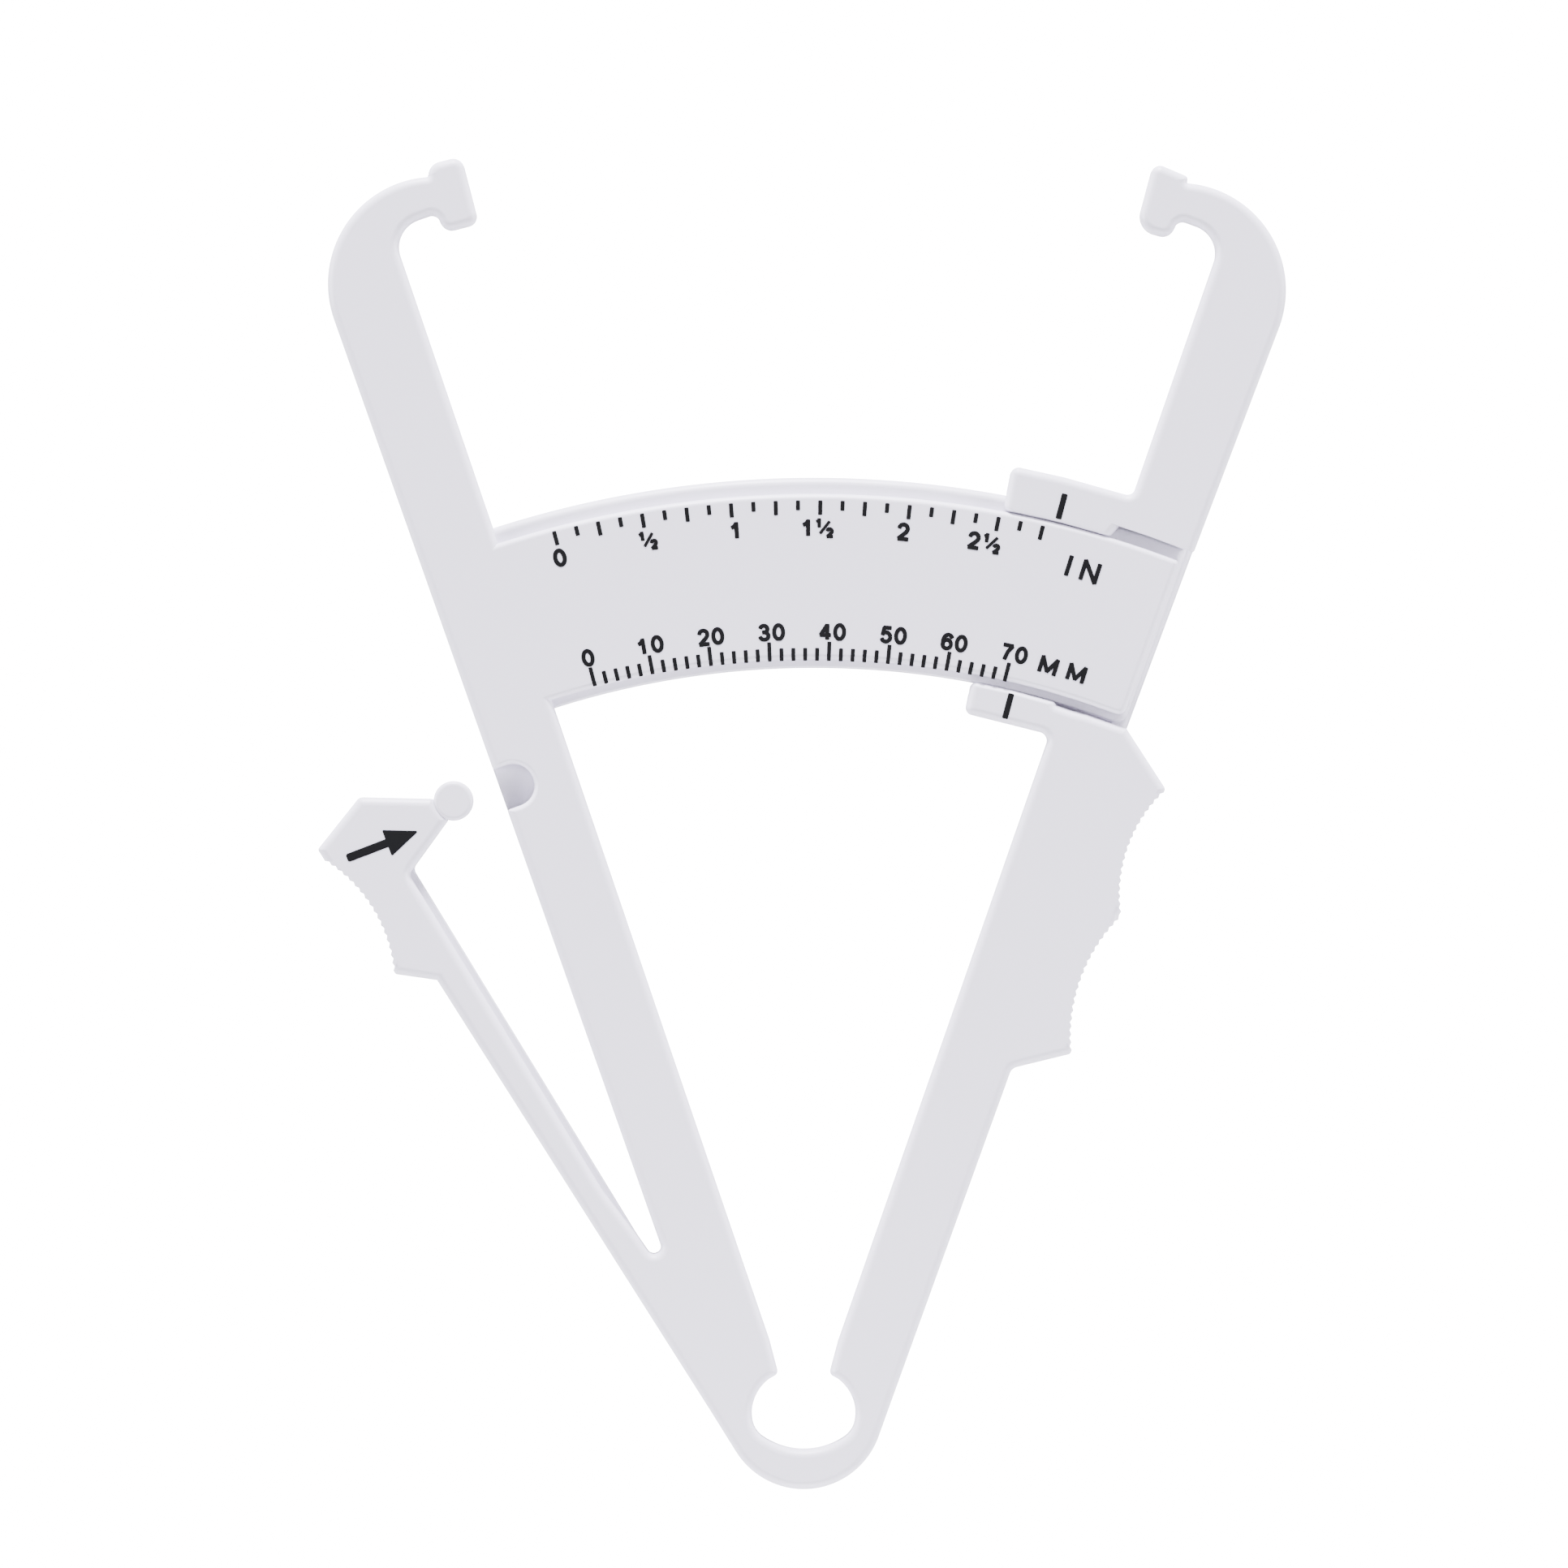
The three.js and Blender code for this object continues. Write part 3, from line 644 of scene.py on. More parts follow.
stud_arm = math.dist(STUD, FLEX)
seat = edge_at(ARM_OUTER, FLEX[1] + stud_arm) - DIMPLE_INSIDE
dimple = (seat, FLEX[1] + math.sqrt(stud_arm**2 - (FLEX[0] - seat) ** 2))
pocket = []
for v in (dimple[1] - DIMPLE_RADIUS, dimple[1] + DIMPLE_RADIUS):
    corners = [(*outer_edge(v), 0.3), (dimple[0] - DIMPLE_RADIUS, v, DIMPLE_RADIUS - 0.01)]
    pocket += corners if v < dimple[1] else corners[::-1]
print(f"The stud travels {math.dist(STUD, dimple):.1f} mm to its dimple")

# %% The scale arm in two layers
below_dimple = [into_half(SCALE_SIDE, left_outer), on_lever(beam_outer), on_lever(beam_inner)]
below_dimple += slot_foot()
above_dimple = [*hook(LEFT_PAD, LEFT_JAW_LIFT), *lip_and_hole()]
moulding = Moulding(SCALE_SIDE)
outline = below_dimple + above_dimple
moulding.solid(outline, 0, DIMPLE_FLOOR, 0, FILLET, {1: 0, len(outline) - 1: 0})
outline = below_dimple + pocket + above_dimple
shares = {1: 0, len(outline) - 1: 0, **run_of(outline, pocket, 0.6)}
moulding.solid(outline, DIMPLE_FLOOR, THICKNESS, FILLET, 0, shares)
scale_arm = moulding.finish("scale_arm_moulding")
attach(scale_arm, "scale_arm")
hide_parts("left_arm", "left_jaw", "left_jaw_pad", "lever_root")

# %% [markdown]
# ## The scale blade
# The blade and the channel it slides in follow arcs round a centre near the bow. Where such an
# arc meets an edge of an arm has no short formula here, because the edges drift, so `on_ring`
# closes in on it by halving the stretch that it must lie in.

# %% Arcs across the arms
CHANNEL_CENTRE = (0.4, -5.5)
NEAREST, FARTHEST, HALVINGS = 70.0, 130.0, 60

channel_centre = into_half(INDEX_SIDE, CHANNEL_CENTRE)


def height_on_ring(radius, centre, point_at):
    """The height at which the line of point_at(height) crosses a ring about the centre."""
    low, high = NEAREST, FARTHEST
    for _ in range(HALVINGS):
        v = (low + high) / 2
        if math.dist(point_at(v), centre) < radius:
            low = v
        else:
            high = v
    return v


def on_ring(side, radius, x_of, about=CHANNEL_CENTRE):
    """Where a ring about that centre meets the line u = x_of(v) of one half."""
    v = height_on_ring(radius, into_half(side, about), lambda v: (x_of(v), v))
    return (x_of(v), v)


def ring_arc(side, radius, start, end, about=CHANNEL_CENTRE):
    """The arc of that radius from one point to another, in the half's frame."""
    centre = into_half(side, about) if side else about
    return arc(centre, radius, bearing(centre, start), bearing(centre, end))


u, v = on_ring(INDEX_SIDE, 100, lambda v: outer_edge(v)[0])
print(f"A ring of 100 mm leaves the index arm {v:.1f} mm up and {u:.1f} mm out")

# %% [markdown]
# The blade is a thin tongue with a raised face, which leaves a ledge along both of its edges.
# Both are drawn in the rest frame, from inside the scale arm, where they run into it, to a tip
# that lies along the index arm. They share one outline that is drawn in by different amounts.

# %% Outline of the blade
BLADE_CENTRE = (1.1, -5.5)
BLADE_INNER, BLADE_OUTER = 89.92, 110.0


def blade_outline(inner, outer, root_depth, tip_inset, tip_rounds):
    def end(side, radius):
        edge, inset = (outer_edge, tip_inset) if side == INDEX_SIDE else (inner_edge, root_depth)
        return place(side, on_ring(side, radius, lambda v: edge(v, inset)[0], BLADE_CENTRE))

    lower, upper = [
        ring_arc(None, radius, end(start, radius), end(-start, radius), BLADE_CENTRE)
        for start, radius in ((SCALE_SIDE, inner), (INDEX_SIDE, outer))
    ]
    corners = [(*lower[-1], tip_rounds[0]), (*upper[0], tip_rounds[1])]
    return [*lower[:-2], *corners, *upper[2:]]


print(f"The blade is {BLADE_OUTER - BLADE_INNER:.1f} mm wide")

# %% [markdown]
# The lower ledge of the tongue is a flat strip that stays in the shade of the face, and the upper
# one is rounded and catches the light, so the lower edges take only part of the fillet.

# %% Tongue and face
FACE_INNER, FACE_OUTER = 90.85, 108.25
TONGUE_BACK, TONGUE_FRONT = 1.9, 3.7
FACE_FRONT = THICKNESS - 0.003
TIP_INSET = 1.75
LOWER_SHARE = 0.3

tongue = blade_outline(BLADE_INNER, BLADE_OUTER, 1.2, TIP_INSET - 0.6, (1.4, 0.5))
lower_edges = next(i for i, point in enumerate(tongue) if len(point) == 3)
lower_shares = {i: LOWER_SHARE for i in range(lower_edges)}
face = blade_outline(FACE_INNER, FACE_OUTER, 2.0, TIP_INSET - 0.2, (0.9, 0.5))
moulding = Moulding()
moulding.solid(tongue, TONGUE_BACK, TONGUE_FRONT, 0.85, 0.3, lower_shares, 5)
moulding.solid(face, TONGUE_BACK + 0.2, FACE_FRONT, 0.6, 0, {len(face) - 1: 0})
blade = moulding.finish("scale_blade_moulding")
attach(blade, "scale_arm")
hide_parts("scale_blade")

# %% [markdown]
# ## The index arm
# The blade passes through the index arm, so that arm is three things in one mesh: the arm with
# its finger grip below the channel, the arm with its jaw above it, and a thin floor between them
# that slides under the blade. Each part also carries a tab that points towards the scale arm, with
# a lip that reaches over the blade's ledge and holds it down.

# %% Ends of the tabs
TAB_STOP = 0.8


def end_line(v):
    """The line that both tabs end on, which stops short of the scale arm when the jaws meet."""
    return into_half(
        INDEX_SIDE, turn(place(SCALE_SIDE, inner_edge(v, -TAB_STOP)), -2 * HALF_OPENING)
    )


def end_at(radius):
    """Where a ring of the channel meets the tabs' end line."""
    return end_line(height_on_ring(radius, channel_centre, end_line))


def arm_at(radius, edge, inset=0.0):
    """Where a ring of the channel meets an edge of the index arm."""
    return on_ring(INDEX_SIDE, radius, lambda v: edge(v, inset)[0])


tab_length = math.dist(end_at(BLADE_INNER), arm_at(BLADE_INNER, inner_edge))
print(f"The lower tab reaches {tab_length:.1f} mm beyond the arm")

# %% [markdown]
# The finger grip stands out of the arm's outer side: two hollows with a ridge between them, both
# toothed like the lever's. Its top crest lies a little below the channel, and everything else
# hangs from there.

# %% Finger grip
HOLLOWS = (14.2, 15.5)
UPPER_CREST = arm_at(BLADE_INNER, outer_edge)[1] - 4.4
RIDGE = UPPER_CREST - HOLLOWS[0]
LOWER_CREST = RIDGE - HOLLOWS[1]
GRIP_FOOT = LOWER_CREST - 3.5
CREST = edge_at(ARM_OUTER, RIDGE) + 5.25

lower_teeth = scallop(CREST, LOWER_CREST, HOLLOWS[1])
upper_teeth = scallop(CREST, RIDGE, HOLLOWS[0])
grip_side = [
    into_half(INDEX_SIDE, right_outer),
    (*outer_edge(GRIP_FOOT), 1.0),
    (CREST, LOWER_CREST, 0.4),
    *lower_teeth,
    (CREST - 0.1, RIDGE, 0.3),
    *upper_teeth,
    (CREST, UPPER_CREST, 0.5),
]
toothed = {
    **run_of(grip_side, lower_teeth, TOOTH_SHARE), **run_of(grip_side, upper_teeth, TOOTH_SHARE),
}
print(f"The grip is {UPPER_CREST - GRIP_FOOT:.1f} mm long, with {len(toothed) // 2 + 1} teeth")

# %% [markdown]
# Below the channel the arm's wall follows the blade at a small distance. On the real tool the
# face reaches out over that gap, more towards its outer end, so the wall of the upper layer fades
# from the blade's edge there to the lower layer's wall. `sill` is that run of points.

# %% Wall and sill below the channel
WALL_LOWER = 88.8
TAB_LOWER = 86.75
SILL_END, SILL_REACH = (33.75, 78.15), 15.0

sill_end = into_half(INDEX_SIDE, SILL_END)


def ramp(v):
    """The slope from the grip's crest up to the end of the sill, as u at that height."""
    return CREST + (sill_end[0] - CREST) * (v - UPPER_CREST) / (sill_end[1] - UPPER_CREST)


wall_outer = on_ring(INDEX_SIDE, WALL_LOWER, ramp)
wall = ring_arc(INDEX_SIDE, WALL_LOWER, wall_outer, end_at(WALL_LOWER))
rise = math.dist(SILL_END, CHANNEL_CENTRE) - WALL_LOWER
sill = []
for point in wall[4:]:
    radius = WALL_LOWER + rise * max(0, 1 - (math.dist(point, sill_end) / SILL_REACH) ** 2)
    sill.append(on_circle(channel_centre, radius, bearing(channel_centre, point)))
print(f"The sill reaches up to {rise:.2f} mm over the gap")

# %% [markdown]
# The tab is a rail under the blade's lower edge whose upper layer has a lip. `rail` runs round
# the tab's back, the same in both layers, and `lip` along the blade.

# %% Arm below the channel
LIP_LOWER = 90.2
TAB_BACK = 3.9
LOWER_TOP = TAB_BACK - 0.2

rail = ring_arc(INDEX_SIDE, TAB_LOWER, end_at(TAB_LOWER), arm_at(TAB_LOWER, inner_edge))
rail = [(*rail[0], 0.8), *rail[3:-4], (*rail[-1], 0.9)]
back_layer = [*grip_side, (*wall_outer, 0.15), *wall[4:], *rail, *lip_and_hole()]

lip = ring_arc(INDEX_SIDE, LIP_LOWER, arm_at(LIP_LOWER, inner_edge, -0.6), end_at(LIP_LOWER))
lip = [(*lip[0], 0.6), *lip[3:-3], (*lip[-1], 0.7)]
step_u = arm_at(WALL_LOWER, inner_edge, -0.4)[0]
sill = [point for point in sill if point[0] > step_u + 0.4]
step = (step_u, sill[-1][1] - 0.02, 0.1)
front_layer = [*grip_side, (*sill_end, 0.3), *sill, step, *lip, *rail, *lip_and_hole()]

moulding = Moulding(INDEX_SIDE)
shares = {**toothed, len(back_layer) - 1: 0}
moulding.solid(back_layer, 0, LOWER_TOP, 0, FILLET, shares)
shares = {**toothed, len(front_layer) - 1: 0, **run_of(front_layer, lip, 0.6)}
moulding.solid(front_layer, LOWER_TOP, THICKNESS, FILLET, 0, shares)
print("Below the channel the arm takes", len(moulding.bm.faces), "faces")

# %% [markdown]
# Above the channel it is the same the other way round. The upper layer overhangs the blade's
# ledge by a hair along the whole wall, and by its lip along the tab. Edges that face the channel
# keep nearly square, because the shadow in the gap is a crisp line in the photograph.

# %% Arm above the channel
WALL_UPPER, OVERHANG = 110.35, 109.85
LIP_UPPER = 108.5
TAB_UPPER = 113.3
LIP_SHARE, SILL_SHARE = 0.35, 0.12

rail = ring_arc(INDEX_SIDE, TAB_UPPER, arm_at(TAB_UPPER, inner_edge), end_at(TAB_UPPER))
jaw_side = [*hook(RIGHT_PAD), (*rail[0], 0.9), *rail[4:-3], (*rail[-1], 0.9)]
wall_outer = arm_at(WALL_UPPER, outer_edge, 0.4)
wall = ring_arc(INDEX_SIDE, WALL_UPPER, end_at(WALL_UPPER), wall_outer)
back_layer = [(*wall[-1], 0.3), *jaw_side, *wall[:-3]]
shares = {**run_of(back_layer, wall[:-3], 0), len(back_layer) - 1: 0}
moulding.solid(back_layer, 0, TAB_BACK, 0, FILLET, shares)

lip = ring_arc(INDEX_SIDE, LIP_UPPER, end_at(LIP_UPPER), arm_at(LIP_UPPER, inner_edge, -0.9))
lip = [(*lip[0], 0.7), *lip[3:-3], (*lip[-1], 0.5)]
sill_ends = arm_at(OVERHANG, inner_edge, -0.3), arm_at(OVERHANG, outer_edge, 0.4)
sill = ring_arc(INDEX_SIDE, OVERHANG, *sill_ends)
front_layer = [(*sill[-1], 0.3), *jaw_side, *lip, *sill[:-3]]
shares = {
    **run_of(front_layer, lip, LIP_SHARE), **run_of(front_layer, sill[:-3], SILL_SHARE),
    len(front_layer) - 1: SILL_SHARE,
}
moulding.solid(front_layer, TAB_BACK, THICKNESS, FILLET, 0, shares)
print("With the jaw it takes", len(moulding.bm.faces))

# %% [markdown]
# The floor joins both parts under the blade. It is a thin plate, with a slightly higher rim along
# the outer edge whose rounding catches the light beside the blade's tip.

# %% Floor of the channel
CHANNEL_FLOOR = 1.6


def floor_strip(inner, high, fillet):
    """A plate from the arm's outer edge to the line inner(v), as high as asked."""
    a = arm_at(WALL_LOWER - 0.9, outer_edge, 0.7)
    b = arm_at(WALL_UPPER + 0.9, outer_edge, 0.45)
    corners = [a, b, inner(b[1]), inner(a[1])]
    moulding.solid(corners, 0, high, fillet, 0, {1: 0, 2: 0, 3: 0})


floor_strip(lambda v: inner_edge(v, -1.2), CHANNEL_FLOOR - 0.4, 0.2)
floor_strip(lambda v: outer_edge(v, 2.4), CHANNEL_FLOOR, 0.9)

index_arm = moulding.finish("index_arm_moulding")
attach(index_arm, "index_arm")
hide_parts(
    "lower_right_arm", "finger_grip", "channel_plate", "upper_right_arm",
    "right_jaw", "right_jaw_pad", "upper_index_tab", "lower_index_tab",
)

# %% [markdown]
# ## Printed scales
# The print is a thin layer of ink on the face. A font would need its letters bent along the rows
# and wouldn't match this plain lettering, so ticks, numbers and letters are drawn as pen strokes
# of even width, with slightly rounded ends, and raised by a few hundredths of a millimetre.
# Strokes that cross lie on layers of their own, so that no two faces fall together.

# %% Pen strokes
INK, INK_DEPTH, INK_LAYER = 0.025, 0.02, 0.004
END_BULGE = 0.5
END_ANGLES = [math.radians(a) for a in (60, 30, 0, -30, -60)]


class Print(Moulding):
    def stroke(self, points, width, layer=0):
        """A pen stroke of even width along points."""
        points = [Vector(point) for point in points]
        last = len(points) - 1
        sides, caps = ([], []), []
        for i, point in enumerate(points):
            ahead = (points[min(i + 1, last)] - points[min(i, last - 1)]).normalized()
            behind = (points[max(i, 1)] - points[max(i - 1, 0)]).normalized()
            along = (ahead + behind).normalized()
            across = Vector((-along.y, along.x)) * width / 2 / along.dot(ahead)
            sides[0].append(point + across)
            sides[1].append(point - across)
            if i in (0, last):
                out = (along if i else -along) * END_BULGE * width / 2
                cap = [
                    point + out * math.cos(a) ** 0.5
                    + across * math.copysign(abs(math.sin(a)) ** 0.5, a) for a in END_ANGLES
                ]
                caps.append(cap if i else cap[::-1])
        outline = [tuple(point) for point in caps[0] + sides[0] + caps[1] + sides[1][::-1]]
        self.solid(outline, THICKNESS - INK_DEPTH, THICKNESS + INK + layer * INK_LAYER, 0, 0)


print("The end of a stroke has", len(END_ANGLES) + 1, "flats")

# %% [markdown]
# Each sign is a list of strokes, one unit high about its own middle. Round ones are made of ovals.
# A closed ring needs two strokes, because a stroke has two ends.

# %% Numbers and letters
def oval(x, y, across, up, start, end):
    count = round(abs(end - start) / 15)
    angles = [math.radians(start + (end - start) * i / count) for i in range(count + 1)]
    return [(x + across * math.cos(a), y + up * math.sin(a)) for a in angles]


SIGNS = {
    "0": [oval(0, 0, 0.32, 0.5, -96, 96), oval(0, 0, 0.32, 0.5, 84, 276)],
    "1": [[(0.02, 0.5), (0.02, -0.5)], [(-0.27, 0.2), (-0.12, 0.27), (0.0, 0.44)]],
    "2": [
        [*oval(0, 0.22, 0.29, 0.28, 170, -25), (0.16, -0.06), (-0.29, -0.46)],
        [(-0.3, -0.5), (0.32, -0.5)],
    ],
    "3": [
        [*oval(-0.03, 0.26, 0.26, 0.24, 160, -75), (-0.1, 0.02)],
        oval(-0.02, -0.24, 0.3, 0.26, 80, -165),
    ],
    "4": [
        [(0.14, -0.5), (0.14, 0.5)], [(0.1, 0.46), (-0.32, -0.2)], [(-0.34, -0.24), (0.34, -0.24)],
    ],
    "5": [
        [(0.28, 0.5), (-0.18, 0.5)],
        [(-0.18, 0.48), (-0.26, 0.0)],
        oval(-0.02, -0.17, 0.31, 0.33, 140, -155),
    ],
    "6": [
        oval(0, -0.19, 0.3, 0.31, -6, 186),
        oval(0, -0.19, 0.3, 0.31, 174, 366),
        oval(0.05, 0, 0.35, 0.5, 200, 40),
    ],
    "7": [[(-0.32, 0.5), (0.3, 0.5)], [(0.28, 0.46), (0.02, 0.05), (-0.12, -0.5)]],
    "I": [[(0, -0.5), (0, 0.5)]],
    "N": [
        [(-0.38, -0.5), (-0.38, 0.5)], [(-0.38, 0.5), (0.38, -0.5)], [(0.38, -0.5), (0.38, 0.5)],
    ],
    "M": [
        [(-0.5, -0.5), (-0.5, 0.5)],
        [(-0.5, 0.5), (0, -0.4)],
        [(0, -0.4), (0.5, 0.5)],
        [(0.5, -0.5), (0.5, 0.5)],
    ],
}
print(len(SIGNS), "signs take", sum(len(strokes) for strokes in SIGNS.values()), "strokes")

# %% [markdown]
# Signs stand upright on their row, so each is turned by the row's lean there. The half is built
# from two small digits on either side of a slash.

# %% Placing a sign
def beside(centre, offset, lean):
    """A place beside the centre, where the offset leans with the sign."""
    x, y = turn(offset, -lean)
    return (centre[0] + x, centre[1] + y)


def sign(row, name, centre, lean, height, pen):
    """One sign about its centre, leaning to the right by that many degrees."""
    size = height - pen
    for number, points in enumerate(SIGNS[name]):
        row.stroke([beside(centre, (x * size, y * size), lean) for x, y in points], pen, number)


HALF_DIGITS = {"1": (-0.57, 0.5), "2": (0.57, -0.52)}
HALF_SLASH = ((-0.42, -0.56), (0.5, 0.64))


def half_sign(row, centre, lean):
    for name, offset in HALF_DIGITS.items():
        sign(row, name, beside(centre, offset, lean), lean, 1.2, 0.4)
    row.stroke([beside(centre, end, lean) for end in HALF_SLASH], 0.33, 3)


print(f"The digits of a half stand {math.dist(*HALF_DIGITS.values()):.2f} mm apart")

# %% [markdown]
# ## Where a reading lies
# A tick for a gap between the pads lies on a ray from the bending centre, as the reading line
# does when the tool shows that gap. The rays are evenly spaced. The rows themselves are arcs, a
# little flatter than the blade's edges, so a place on a row is where its arc crosses the ray.

# %% Rays and rows
ROW_CENTRE = (0.75, -12.0)
ROW_START, ROW_STEP = -15.09, 0.417


def reading(gap, radius, aside=0.0):
    """The place for a gap in millimetres on one of the rows, and how far the row leans there."""
    ray = ROW_START + ROW_STEP * gap
    on_ray = turn((0, crossing(ROW_CENTRE, radius, ray)), -ray)
    lean = 90 - bearing(ROW_CENTRE, on_ray) + math.degrees(aside / radius)
    return on_circle(ROW_CENTRE, radius, 90 - lean), lean


def tick(row, gap, low, high, width):
    row.stroke([reading(gap, low)[0], reading(gap, high)[0]], width)


print(f"At rest the reading lines point at {(HALF_OPENING - ROW_START) / ROW_STEP:.1f} mm")

# %% [markdown]
# The inch row has a tick every eighth, a longer one every quarter, and its numbers below them. On
# the real blade the numbers don't stand right under their ticks, so each has its own shift along
# the row.

# %% Inch scale
INCH = 25.4
INCH_TICK_TOP, INCH_NUMBERS = 113.95, 111.18
INCH_LETTER_LEAN = 17.4

inches = Print()
for eighth in range(23):
    length = 0.84 if eighth % 2 else 1.32
    tick(inches, eighth / 8 * INCH, INCH_TICK_TOP - length, INCH_TICK_TOP, 0.45)
for inch, name, shift in (
    (0, "0", -0.1), (0.5, "half", 0.19), (1, "1", 0.36), (1.5, "1", -1.27), (1.5, "half", 0.48),
    (2, "2", -0.38), (2.5, "2", -2.08), (2.5, "half", -0.2),
):
    centre, lean = reading(inch * INCH, INCH_NUMBERS, shift)
    if name == "half":
        half_sign(inches, centre, lean)
    else:
        sign(inches, name, centre, lean, 2.0, 0.47)
for name, centre in (("I", (27.6, 95.28)), ("N", (29.85, 94.63))):
    sign(inches, name, centre, INCH_LETTER_LEAN, 2.5, 0.48)
inch_scale = inches.finish("inch_scale_print")
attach(inch_scale, "scale_arm")

# %% [markdown]
# The millimetre row has a tick every two millimetres, a longer one every ten, and its numbers
# above them.

# %% Millimetre scale
MM_TICK_BOTTOM, MM_NUMBERS = 97.27, 100.24
DIGIT_PITCH = 1.5
MM_LETTER_LEAN = 17.5

millimetres = Print()
for gap in range(0, 72, 2):
    length = 1.16 if gap % 10 else 1.84
    tick(millimetres, gap, MM_TICK_BOTTOM, MM_TICK_BOTTOM + length, 0.43)
for gap in range(0, 80, 10):
    digits = str(gap)
    for i, name in enumerate(digits):
        shift = (0.3 if gap else 0.05) + DIGIT_PITCH * (i - (len(digits) - 1) / 2)
        sign(millimetres, name, *reading(gap, MM_NUMBERS, shift), 1.92, 0.45)
for centre in ((25.5, 84.74), (28.45, 83.95)):
    sign(millimetres, "M", centre, MM_LETTER_LEAN, 2.05, 0.46)
millimetre_scale = millimetres.finish("millimetre_scale_print")
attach(millimetre_scale, "scale_arm")

# %% [markdown]
# ## Reading lines
# Each tab carries a line that points at the scale. It lies in the plane that the pads meet on,
# so it is a single stroke along that plane, printed like the scale.

# %% Reading lines
LINE_LENGTH, LINE_WIDTH = 2.45, 0.64

reading_lines = []
for name, foot in (
    ("upper", crossing(CHANNEL_CENTRE, LIP_UPPER, HALF_OPENING) + 0.5),
    ("lower", crossing(CHANNEL_CENTRE, LIP_LOWER, HALF_OPENING) - 0.51 - LINE_LENGTH),
):
    line = Print(INDEX_SIDE)
    line.stroke([from_pad_plane(0, foot), from_pad_plane(0, foot + LINE_LENGTH)], LINE_WIDTH)
    line = line.finish(f"{name}_reading_line")
    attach(line, "index_arm")
    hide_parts(f"{name}_index_line")
    reading_lines.append(line)

# %% [markdown]
# ## Arrow
# The arrow on the thumb pad says which way to push. One side of it is drawn and mirrored, with
# its corners a little rounded as ink leaves them.

# %% Arrow
ARROW_LENGTH, ARROW_HEAD, ARROW_HEAD_WIDTH, ARROW_SHAFT = 8.1, 3.6, 2.95, 0.9
ARROW_TAIL, ARROW_LEAN = (1.6, BEAM_LENGTH + 15.9), -191

shaft_end = ARROW_LENGTH - ARROW_HEAD
arrow_side = [
    (0, ARROW_SHAFT / 2, 0.25),
    (shaft_end, ARROW_SHAFT / 2, 0.05),
    (shaft_end, ARROW_HEAD_WIDTH / 2, 0.12),
    (ARROW_LENGTH, 0, 0.12),
]
corners = arrow_side + [(x, -y, rounding) for x, y, rounding in arrow_side[-2::-1]]
corners = [(*on_lever(beside(ARROW_TAIL, (x, y), ARROW_LEAN)), r) for x, y, r in corners]
arrow = Print(SCALE_SIDE)
arrow.solid(corners, THICKNESS - INK_DEPTH, THICKNESS + INK, 0, 0)
arrow = arrow.finish("push_arrow")
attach(arrow, "thumb_lever")
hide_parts("thumb_arrow")

# %% [markdown]
# ## White plastic and black ink
# The moulding is white plastic with a cool tint and a satin surface. What the eye sees of it is a
# very fine grain from the mould and a broad, faint unevenness in its gloss. The ink lies on that
# surface and shows both too, so they come from one node group that both materials share. Its
# noise reads Object coordinates, so the grain stays on the tool when it moves.

# %% Moulded grain
def set_inputs(node, values):
    for name, value in values.items():
        node.inputs[name].default_value = value


grain = bpy.data.node_groups.new("moulded_grain", "ShaderNodeTree")
for name, in_out, kind in (
    ("Place", "INPUT", "NodeSocketVector"),
    ("Grain per metre", "INPUT", "NodeSocketFloat"),
    ("Height", "OUTPUT", "NodeSocketFloat"),
    ("Unevenness", "OUTPUT", "NodeSocketFloat"),
):
    grain.interface.new_socket(name=name, in_out=in_out, socket_type=kind)
nodes, links = grain.nodes, grain.links
group_in, group_out = nodes.new("NodeGroupInput"), nodes.new("NodeGroupOutput")
fine, broad = nodes.new("ShaderNodeTexNoise"), nodes.new("ShaderNodeTexNoise")
set_inputs(fine, {"Detail": 4})
set_inputs(broad, {"Scale": 55, "Detail": 3})
links.new(group_in.outputs["Place"], fine.inputs["Vector"])
links.new(group_in.outputs["Place"], broad.inputs["Vector"])
links.new(group_in.outputs["Grain per metre"], fine.inputs["Scale"])
links.new(fine.outputs["Fac"], group_out.inputs["Height"])
links.new(broad.outputs["Fac"], group_out.inputs["Unevenness"])
print("The group has", len(grain.nodes), "nodes")

# %% [markdown]
# Each material drifts between two colours and between two values of roughness with the broad
# noise, and the fine noise feeds a Bump node. Real plastic is never quite even, but the drift is
# small enough that no single patch of it shows.

# %% A material on that grain
def colour_socket(sockets, name):
    """The colour socket of that name, because a Mix node also has hidden ones for numbers."""
    return next(socket for socket in sockets if socket.name == name and socket.type == "RGBA")


